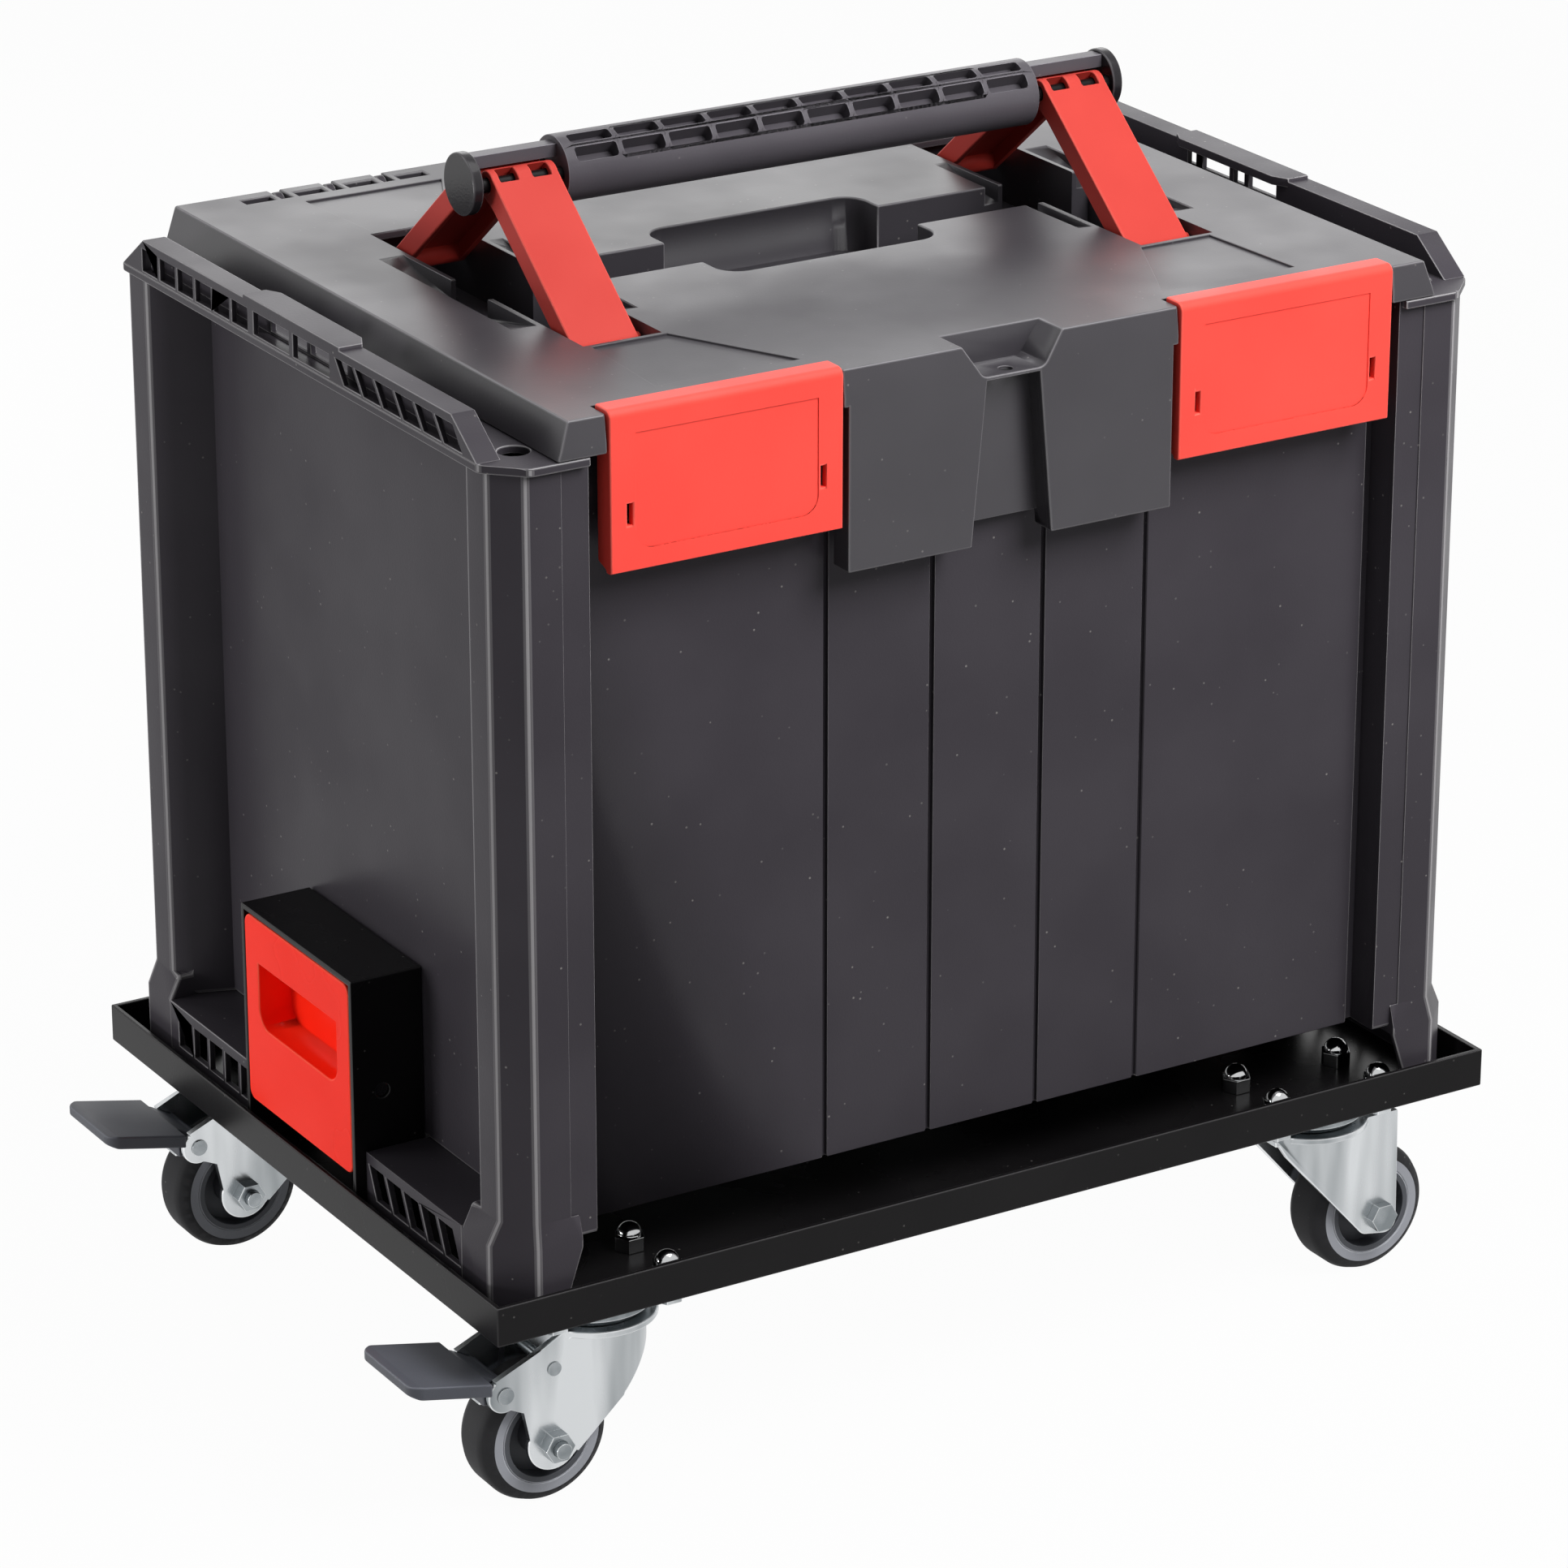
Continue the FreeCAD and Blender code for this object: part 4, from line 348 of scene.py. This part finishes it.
def round_edges(work: bmesh.types.BMesh, edges: list[bmesh.types.BMEdge], reach: float,
                segments: int) -> list[bmesh.types.BMFace]:
    """Round edges of a mesh to a circular arc.

    Args:
        work: Mesh that is changed.
        edges: Edges to round.
        reach: How far the rounding reaches from the edge, in metres.
        segments: Facets across it.

    Returns:
        The rounding's faces.
    """
    arc = 0.5
    return bmesh.ops.bevel(work, geom=edges, offset=reach, offset_type="OFFSET", segments=segments,
                           profile=arc, affect="EDGES", clamp_overlap=False,
                           loop_slide=True)["faces"]


@dataclass(frozen=True)
class EdgeEasing:
    """Rounding of sharp edges, as a mould, a fold or a lathe leaves them.

    Attributes:
        weld_mm: Corners nearer to each other than this become one.
        flat_angle: Faces that turn by less than this become one, in degrees.
        sharp_angle: Edges that turn by more than this are rounded, in degrees.
        smooth_angle: Edges that turn by less than this are shaded smooth, in degrees.
        segments: Facets across a rounding.
        room: Length of the edges beside a rounded one, in roundings, that gives it room.
        in_line: Cosine from which two edges count as one line.
        rim: How far a rounding's outer facets take the edge colour of wear and painted highlight.
        crest: How far its middle facets take it, so that the painted highlight is fullest there.
    """

    weld_mm: float = 0.002
    flat_angle: float = 0.5
    sharp_angle: float = 38.0
    smooth_angle: float = 40.0
    segments: int = 3
    room: float = 2.6
    in_line: float = 0.9
    rim: float = 0.3
    crest: float = 1.0

    def ease(self, mesh: bpy.types.Mesh, eases_mm: tuple[float, ...]) -> None:
        """Round a mesh's sharp edges where they have room, paint them with edge wear and a
        highlight, and smooth the shading.

        Args:
            mesh: Mesh that is changed.
            eases_mm: Roundings to try, widest first.
        """
        work = bmesh.new()
        work.from_mesh(mesh)
        wear_and_highlight = work.faces.layers.float.new(EDGE)
        bmesh.ops.remove_doubles(work, verts=work.verts, dist=self.weld_mm * MM)
        bmesh.ops.dissolve_limit(work, angle_limit=math.radians(self.flat_angle),
                                 verts=work.verts, edges=work.edges)
        for reach in (ease_mm * MM for ease_mm in eases_mm):
            roomy = [edge for edge in work.edges if self.is_sharp(edge)
                     and all(self.has_room(edge, corner, reach) for corner in edge.verts)]
            strip = set(round_edges(work, roomy, reach, self.segments))
            for face in strip:
                # Rounded facets take the edge colour, as edge wear and a painted highlight, fullest
                # in the middle.
                face[wear_and_highlight] = self.rim if self.is_outer(face, strip) else self.crest
        work.to_mesh(mesh)
        work.free()
        mesh.polygons.foreach_set("use_smooth", [True] * len(mesh.polygons))
        mesh.set_sharp_from_angle(angle=math.radians(self.smooth_angle))

    def is_sharp(self, edge: bmesh.types.BMEdge) -> bool:
        """Say whether an edge stands out and turns sharply."""
        return (edge.is_manifold and edge.is_convex
                and edge.calc_face_angle() > math.radians(self.sharp_angle))

    def has_room(self, edge: bmesh.types.BMEdge, corner: bmesh.types.BMVert, reach: float) -> bool:
        """Say whether the edges that leave a corner across this one are long enough to be cut back.

        Args:
            edge: Edge to be rounded.
            corner: One of its ends.
            reach: How far the rounding reaches, in metres.

        Returns:
            True where each edge that isn't in line with this one is long enough.
        """
        along = (edge.other_vert(corner).co - corner.co).normalized()
        for other in corner.link_edges:
            if other is edge:
                continue
            run = other.other_vert(corner).co - corner.co
            short = run.length < self.room * reach
            if short and abs(run.normalized().dot(along)) < self.in_line:
                return False
        return True

    def is_outer(self, face: bmesh.types.BMFace, strip: set[bmesh.types.BMFace]) -> bool:
        """Say whether a facet lies along the rim of its rounding.

        Args:
            face: The facet.
            strip: All facets of the roundings.

        Returns:
            True where a long edge of the facet borders a face that isn't rounded.
        """
        lengths = {edge: edge.calc_length() for edge in face.edges}
        longish = max(lengths.values()) / 2
        return any(length > longish and not strip.issuperset(edge.link_faces)
                   for edge, length in lengths.items())


EASING = EdgeEasing()


@dataclass
class SubAssembly:
    """Pieces that are built, dressed and named together."""

    pieces: list[bpy.types.Object] = field(default_factory=list, init=False)

    def add(self, node: str, making: Making, finish: Finish,
            mesh: bpy.types.Mesh | None = None) -> bpy.types.Object:
        """Build a node's piece with eased edges, dress it and hang it on the node's body.

        Args:
            node: Name of the node that the piece stands for.
            making: How the piece is made.
            finish: Its material.
            mesh: Its own mesh, or none for the solid's.

        Returns:
            The new piece.
        """
        source = frame["nodes"][node]
        piece = bpy.data.objects.new(f"{node}_{making.word}", mesh or source.data.copy())
        bpy.context.scene.collection.objects.link(piece)
        piece.data.materials.clear()
        piece.data.materials.append(finish.material())
        EASING.ease(piece.data, making.eases_mm)
        flat = piece.modifiers.new("flat_faces", "WEIGHTED_NORMAL")
        flat.keep_sharp = True
        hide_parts(node)
        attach(piece, source["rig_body"])
        self.pieces.append(piece)
        return piece


@dataclass
class Case(SubAssembly):
    """Tub with its stacking rails and foot runners."""

    def build(self) -> None:
        """Build and dress the tub and what is moulded on it."""
        self.add("case_tub", Making.MOULDED_DEEP, CASE_BLACK)
        for side in Side:
            self.add(f"stacking_rail_{side.value}", Making.MOULDED_THIN, CASE_BLACK)
            for end in End:
                self.add(f"foot_runner_{side.value}_{end.value}", Making.MOULDED_THIN, CASE_BLACK)


@dataclass
class Lid(SubAssembly):
    """Lid on its hinge rod."""

    def build(self) -> None:
        """Build and dress the lid and the rod."""
        self.add("lid", Making.MOULDED, LID_BLACK)
        self.add("lid_hinge_rod", Making.TURNED, ZINC)


@dataclass
class Latches(SubAssembly):
    """Two red latches on their pins."""

    def build(self) -> None:
        """Build and dress the face plates and pins."""
        for side in Side:
            self.add(f"latch_{side.value}", Making.MOULDED, SATIN_RED)
            self.add(f"latch_pin_{side.value}", Making.TURNED, ZINC)


@dataclass
class Handle(SubAssembly):
    """Grip, rods, end caps and the four arms.

    The grip's cells open forwards and up, in two rows.

    Attributes:
        grip_length_mm: Length of the round grip.
        grip_radius_mm: Its radius.
        columns: Cells along each row.
        rib_mm: Thickness of the ribs between the columns.
        end_wall_mm: Thickness of the grip's ends.
        rows: First and last angle of each row, forwards from the top, in degrees.
        row_steps: Facets across a row.
        back_steps: Facets round the rest of the grip.
        floor_mm: Height of the cells' floor above the grip's axis.
        corner_mm: Rounding of the cells' corners.
        corner_steps: Facets across that rounding.
        spine_mm: Width, foot and top of the spine that reaches to each end cap.
    """

    grip_length_mm: float = 192.0
    grip_radius_mm: float = 12.0
    columns: int = 10
    rib_mm: float = 2.2
    end_wall_mm: float = 4.0
    rows: tuple[tuple[float, float], ...] = ((9.0, 33.0), (41.5, 67.0))
    row_steps: int = 3
    back_steps: int = 40
    floor_mm: float = 6.3
    corner_mm: float = 1.2
    corner_steps: int = 3
    spine_mm: tuple[float, float, float] = (6.0, 5.2, 9.8)

    def build(self) -> None:
        """Build and dress the handle."""
        self.add("handle_grip", Making.MOULDED_FINE, GRIP_BLACK, self.celled_grip())
        self.add("handle_rods", Making.TURNED, COAT_BLACK)
        self.add("handle_end_caps", Making.MOULDED, CAP_BLACK)
        for side in Side:
            for end in End:
                self.add(f"handle_arm_{side.value}_{end.value}", Making.MOULDED, MATT_RED)

    def celled_grip(self) -> bpy.types.Mesh:
        """Build the grip with two rows of cells, and its spines.

        Returns:
            The mesh, in metres, where the grip is.
        """
        low, high = (Vector(corner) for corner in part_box("handle_grip"))
        axis = (low + high) / 2
        work = bmesh.new()
        corners = self.add_skin(work, axis)
        # The rounding needs all faces turned outwards, and so does the finished mesh.
        bmesh.ops.recalc_face_normals(work, faces=work.faces)
        round_edges(work, corners, self.corner_mm * MM, self.corner_steps)
        self.add_spine(work, axis, low.x, -1)
        self.add_spine(work, axis, high.x, 1)
        bmesh.ops.recalc_face_normals(work, faces=work.faces)
        mesh = bpy.data.meshes.new("handle_grip_celled")
        work.to_mesh(mesh)
        work.free()
        return mesh

    def add_skin(self, work: bmesh.types.BMesh, axis: Vector) -> list[bmesh.types.BMEdge]:
        """Lay the grip's round skin and sink its cells.

        Args:
            work: The grip's mesh.
            axis: Middle of the grip.

        Returns:
            The upright edges at the cells' corners.
        """
        turns = self.turns()
        skin = [[work.verts.new(self.on_grip(axis, along, turn)) for turn in turns]
                for along in self.cuts()]
        for end in (skin[0], skin[-1]):
            work.faces.new(end)
        starts = [row * (self.row_steps + 1) for row in range(len(self.rows))]
        open_steps = {start + step for start in starts for step in range(self.row_steps)}
        corners = []
        for i, (left, right) in enumerate(zip(skin, skin[1:])):
            celled = i % 2 == 1
            for j in range(len(turns)):
                k = (j + 1) % len(turns)
                if not (celled and j in open_steps):
                    work.faces.new((left[j], right[j], right[k], left[k]))
            if celled:
                for start in starts:
                    stop = start + self.row_steps + 1
                    corners += self.sink(work, axis, left[start:stop], right[start:stop])
        return corners

    def cuts(self) -> list[float]:
        """Work out where along the grip its columns of cells start and end.

        Returns:
            Places in millimetres from the middle: the left end, each column's two, the right end.
        """
        half = self.grip_length_mm / 2
        pitch = (self.grip_length_mm - 2 * self.end_wall_mm + self.rib_mm) / self.columns
        first = self.end_wall_mm - half
        columns = [first + pitch * i + wide for i in range(self.columns)
                   for wide in (0.0, pitch - self.rib_mm)]
        return [-half, *columns, half]

    def turns(self) -> list[float]:
        """Work out the angles of the grip's facets.

        Returns:
            Angles forwards from the top, in degrees, those of the rows first.
        """
        marks = [low + (high - low) * i / self.row_steps for low, high in self.rows
                 for i in range(self.row_steps + 1)]
        rest = 360 + marks[0] - marks[-1]
        return marks + [marks[-1] + rest * i / self.back_steps for i in range(1, self.back_steps)]

    def on_grip(self, axis: Vector, along_mm: float, turn: float) -> Vector:
        """Give a point on the grip's round skin.

        Args:
            axis: Middle of the grip.
            along_mm: Place along the grip.
            turn: Angle forwards from the top, in degrees.

        Returns:
            The point, in metres.
        """
        reach = self.grip_radius_mm * MM
        lean = math.radians(turn)
        return axis + Vector((along_mm * MM, -reach * math.sin(lean), reach * math.cos(lean)))

    def sink(self, work: bmesh.types.BMesh, axis: Vector, left: list[bmesh.types.BMVert],
             right: list[bmesh.types.BMVert]) -> list[bmesh.types.BMEdge]:
        """Sink one cell below the skin, square to the middle of the two rows.

        Args:
            work: The grip's mesh.
            axis: Middle of the grip.
            left: The cell's rim on the left, from the top down.
            right: Its rim on the right.

        Returns:
            The four upright edges at the cell's corners.
        """
        lean = math.radians((self.rows[0][0] + self.rows[-1][-1]) / 2)
        out = Vector((0.0, -math.sin(lean), math.cos(lean)))
        floors = []
        for rim in (left, right):
            depths = [(v.co - axis).dot(out) - self.floor_mm * MM for v in rim]
            floors.append([work.verts.new(v.co - out * depth) for v, depth in zip(rim, depths)])
        for rim, floor in zip((left, right), floors):
            for j in range(len(rim) - 1):
                work.faces.new((rim[j], rim[j + 1], floor[j + 1], floor[j]))
        for j in range(len(left) - 1):
            work.faces.new((floors[0][j], floors[0][j + 1], floors[1][j + 1], floors[1][j]))
        corners = []
        for j in (0, len(left) - 1):
            work.faces.new((left[j], right[j], floors[1][j], floors[0][j]))
            corners += [work.edges.get((rim[j], floor[j]))
                        for rim, floor in zip((left, right), floors)]
        return corners

    def add_spine(self, work: bmesh.types.BMesh, axis: Vector, end: float, way: int) -> None:
        """Add the spine that reaches from one end of the round grip to the end cap.

        Args:
            work: The grip's mesh.
            axis: Middle of the grip.
            end: Where the spine ends along the grip, in metres.
            way: -1 for the left spine, 1 for the right one.
        """
        wide, foot, top = (size * MM for size in self.spine_mm)
        inner = axis.x + way * (self.grip_length_mm - self.end_wall_mm) * MM / 2
        for corner in bmesh.ops.create_cube(work, size=1.0)["verts"]:
            along = end if corner.co.x * way > 0 else inner
            height = top if corner.co.z > 0 else foot
            corner.co = Vector((along, axis.y + corner.co.y * wide, axis.z + height))


@dataclass
class RollerTray(SubAssembly):
    """Folded tray with its side locks and the castor fasteners.

    Attributes:
        lever_half_mm: Half of the width of a lever between its trunnions.
    """

    lever_half_mm: float = 39.6

    def build(self) -> None:
        """Build and dress the tray, locks, bolts and nuts."""
        self.add("roller_tray", Making.FOLDED, COAT_BLACK)
        self.add("castor_bolts", Making.TURNED, ZINC)
        self.add("cap_nuts", Making.TURNED, CHROME)
        for side in Side:
            self.add(f"lock_housing_{side.value}", Making.FOLDED, COAT_BLACK)
            lever = self.add(f"lock_lever_{side.value}", Making.MOULDED, GLOSS_RED)
            self.paint_trunnion_shade(lever)

    def paint_trunnion_shade(self, lever: bpy.types.Object) -> None:
        """Paint a lever's two red trunnions black, as painted shade for the shadow they lie in
        within the housing.

        Args:
            lever: The lever.
        """
        # The trunnions are red like the lever; this black is painted shade.
        lever.data.materials.append(CAP_BLACK.material())
        for face in lever.data.polygons:
            face.material_index = int(abs(face.center.y) > self.lever_half_mm * MM)


@dataclass
class Castors(SubAssembly):
    """Four swivel castors, the left two with brakes.

    Attributes:
        dish_radius_mm: Radius of the dark disc of a wheel's hub.
        ring_radius_mm: Radius of the pale ring where the tread meets the hub.
    """

    dish_radius_mm: float = 16.0
    ring_radius_mm: float = 20.6

    def build(self) -> None:
        """Build and dress the four castors."""
        for corner in (f"{end.value}_{side.value}" for side in Side for end in End):
            for name in ("castor_plate", "castor_fork"):
                self.add(f"{name}_{corner}", Making.PRESSED, ZINC)
            for name in ("kingpin", "axle_bolt"):
                self.add(f"{name}_{corner}", Making.TURNED, ZINC_DULL)
            tread = self.add(f"tread_{corner}", Making.CAST, TREAD)
            hub = self.add(f"wheel_hub_{corner}", Making.MOULDED_THIN, HUB_PALE)
            self.ring(tread, HUB_PALE, self.ring_radius_mm)
            self.ring(hub, HUB_DARK, self.dish_radius_mm)
        for corner in (f"{end.value}_{Side.LEFT.value}" for end in End):
            self.add(f"brake_pedal_{corner}", Making.MOULDED, PEDAL)
            self.add(f"brake_strip_{corner}", Making.PRESSED, ZINC)
            self.add(f"brake_rivets_{corner}", Making.TURNED, ZINC_DULL)

    def ring(self, piece: bpy.types.Object, finish: Finish, radius_mm: float) -> None:
        """Give the faces of a wheel's piece within a radius another finish.

        Args:
            piece: The wheel's piece.
            finish: Finish of those faces.
            radius_mm: Radius that they lie within.
        """
        piece.data.materials.append(finish.material())
        lines = zip(*((v.co.x, v.co.z) for v in piece.data.vertices))
        middle = [(min(line) + max(line)) / 2 for line in lines]
        for face in piece.data.polygons:
            reach = math.hypot(face.center.x - middle[0], face.center.z - middle[1])
            face.material_index = int(reach < radius_mm * MM)


@dataclass(frozen=True)
class Softbox:
    """A square soft light.

    Attributes:
        name: Name of the light.
        place_mm: Where it hangs.
        aim_mm: Where it points.
        side_m: Length of its side.
        watts: Power of the light.
        mirrored: Whether glossy pieces mirror the softbox itself.
    """

    name: str
    place_mm: Point
    aim_mm: Point
    side_m: float
    watts: float
    mirrored: bool = True

    def hang(self) -> None:
        """Hang the softbox and point it."""
        lamp = bpy.data.lights.new(self.name, "AREA")
        lamp.size = self.side_m
        lamp.energy = self.watts
        light = bpy.data.objects.new(self.name, lamp)
        bpy.context.scene.collection.objects.link(light)
        light.visible_glossy = self.mirrored
        light.location = Vector(self.place_mm) * MM
        beam = Vector(self.aim_mm) * MM - light.location
        light.rotation_euler = beam.to_track_quat("-Z", "Y").to_euler()


@dataclass
class Studio:
    """Pale floor, soft lights and the camera.

    Attributes:
        aim_mm: Point that the camera looks at.
        distance_mm: Distance of the camera from it.
        azimuth: Camera's turn about the vertical from straight in front, in degrees.
        elevation: Camera's height angle, in degrees.
        lens_mm: Focal length.
        sensor_mm: Width of the sensor.
        floor_mm: Side of the floor.
        paper: Colour of the floor as it throws light back, sRGB hex.
        white: Colour of the floor and the surroundings as they are seen, sRGB hex.
        white_share: Share of that white in the floor, which leaves it the shadow.
        glow: Strength of the surroundings as a light.
        softboxes: The lamps.
    """

    aim_mm: Point = (11.25, 0.0, 185.6)
    distance_mm: float = 2290.0
    azimuth: float = -31.27
    elevation: float = 21.66
    lens_mm: float = 144.36
    sensor_mm: float = 36.0
    floor_mm: float = 16000.0
    paper: str = "#a8a8a8"
    white: str = "#ffffff"
    white_share: float = 0.97
    glow: float = 0.2
    softboxes: tuple[Softbox, ...] = (
        Softbox("overhead_softbox", (150, -300, 1250), (11, -140, 330), 0.7, 4.0),
        Softbox("front_right_softbox", (320, -800, 1060), (11, -140, 300), 0.6, 19.0, False),
        Softbox("rear_right_softbox", (1150, 1900, 1250), (11, 0, 380), 1.1, 5.0),
        Softbox("rear_fill", (-200, 1500, 650), (11, 0, 250), 1.0, 12.0, False),
        Softbox("left_rear_softbox", (-1400, 800, 900), (11, 0, 300), 0.8, 6.5),
        Softbox("left_low_strip", (-1500, 380, 90), (11, 0, 200), 0.4, 10.0),
    )

    def build(self) -> None:
        """Set the floor, the surroundings, the lights and the camera."""
        self.set_floor()
        self.set_surroundings()
        for softbox in self.softboxes:
            softbox.hang()
        self.set_camera()
        bpy.context.scene.view_settings.view_transform = "Standard"

    def set_floor(self) -> None:
        """Lay the pale floor that the castors stand on."""
        half = self.floor_mm * MM / 2
        mesh = bpy.data.meshes.new("studio_floor")
        corners = [(-half, -half, 0), (half, -half, 0), (half, half, 0), (-half, half, 0)]
        mesh.from_pydata(corners, [], [(0, 1, 2, 3)])
        floor = bpy.data.objects.new("studio_floor", mesh)
        bpy.context.scene.collection.objects.link(floor)
        # White paper, laid flat: it looks plain white and keeps a soft shadow.
        material = bpy.data.materials.new("paper_white_sweep")
        material.use_nodes = True
        tree = material.node_tree
        tree.nodes.clear()
        paper = add_node(tree, "ShaderNodeBsdfDiffuse", {"Color": linear(self.paper)})
        white = add_node(tree, "ShaderNodeEmission", {
            "Color": linear(self.white), "Strength": 1.0})
        share = add_node(tree, "ShaderNodeMapRange", {
            "Value": self.seen(tree), "To Max": self.white_share}).outputs["Result"]
        surface = add_node(tree, "ShaderNodeMixShader", {
            0: share, 1: paper.outputs["BSDF"], 2: white.outputs["Emission"]})
        add_node(tree, "ShaderNodeOutputMaterial", {"Surface": surface.outputs["Shader"]})
        mesh.materials.append(material)

    def seen(self, tree: bpy.types.NodeTree) -> bpy.types.NodeSocket:
        """Tell the rays that show the set from those that only light it.

        Args:
            tree: Node tree that asks.

        Returns:
            1 for a ray that shows the set straight, mirrored or through glass, else 0.
        """
        rays = add_node(tree, "ShaderNodeLightPath").outputs
        total = rays["Is Camera Ray"]
        for name in ("Is Glossy Ray", "Is Transmission Ray"):
            total = add_node(tree, "ShaderNodeMath", {0: total, 1: rays[name]}, operation="ADD",
                             use_clamp=True).outputs["Value"]
        return total

    def set_surroundings(self) -> None:
        """Surround the set with soft white light."""
        world = bpy.data.worlds.new("white_studio")
        bpy.context.scene.world = world
        world.use_nodes = True
        tree = world.node_tree
        tree.nodes.clear()
        glow = add_node(tree, "ShaderNodeBackground", {
            "Color": linear(self.white), "Strength": self.glow})
        white = add_node(tree, "ShaderNodeBackground", {
            "Color": linear(self.white), "Strength": 1.0})
        shown = add_node(tree, "ShaderNodeMixShader", {
            0: self.seen(tree), 1: glow.outputs["Background"], 2: white.outputs["Background"]})
        add_node(tree, "ShaderNodeOutputWorld", {"Surface": shown.outputs["Shader"]})

    def set_camera(self) -> None:
        """Stand the camera where the picture was taken from."""
        turn, lift = math.radians(self.azimuth), math.radians(self.elevation)
        level = math.cos(lift)
        back = Vector((math.sin(turn) * level, -math.cos(turn) * level, math.sin(lift)))
        camera = bpy.data.objects.new("studio_camera", bpy.data.cameras.new("studio_camera"))
        bpy.context.scene.collection.objects.link(camera)
        camera.location = (Vector(self.aim_mm) + back * self.distance_mm) * MM
        camera.rotation_euler = (-back).to_track_quat("-Z", "Y").to_euler()
        camera.data.sensor_width = self.sensor_mm
        camera.data.lens = self.lens_mm
        bpy.context.scene.camera = camera


def main() -> None:
    """Build and dress the sub-assemblies, then the studio."""
    logging.basicConfig(level=logging.INFO, format="%(message)s")
    for assembly in (Case(), Lid(), Latches(), Handle(), RollerTray(), Castors()):
        assembly.build()
        for piece in assembly.pieces:
            faces = len(piece.data.polygons)
            LOG.info("%s: %s, %d faces", type(assembly).__name__, piece.name, faces)
    Studio().build()


if __name__ == "__main__":
    main()
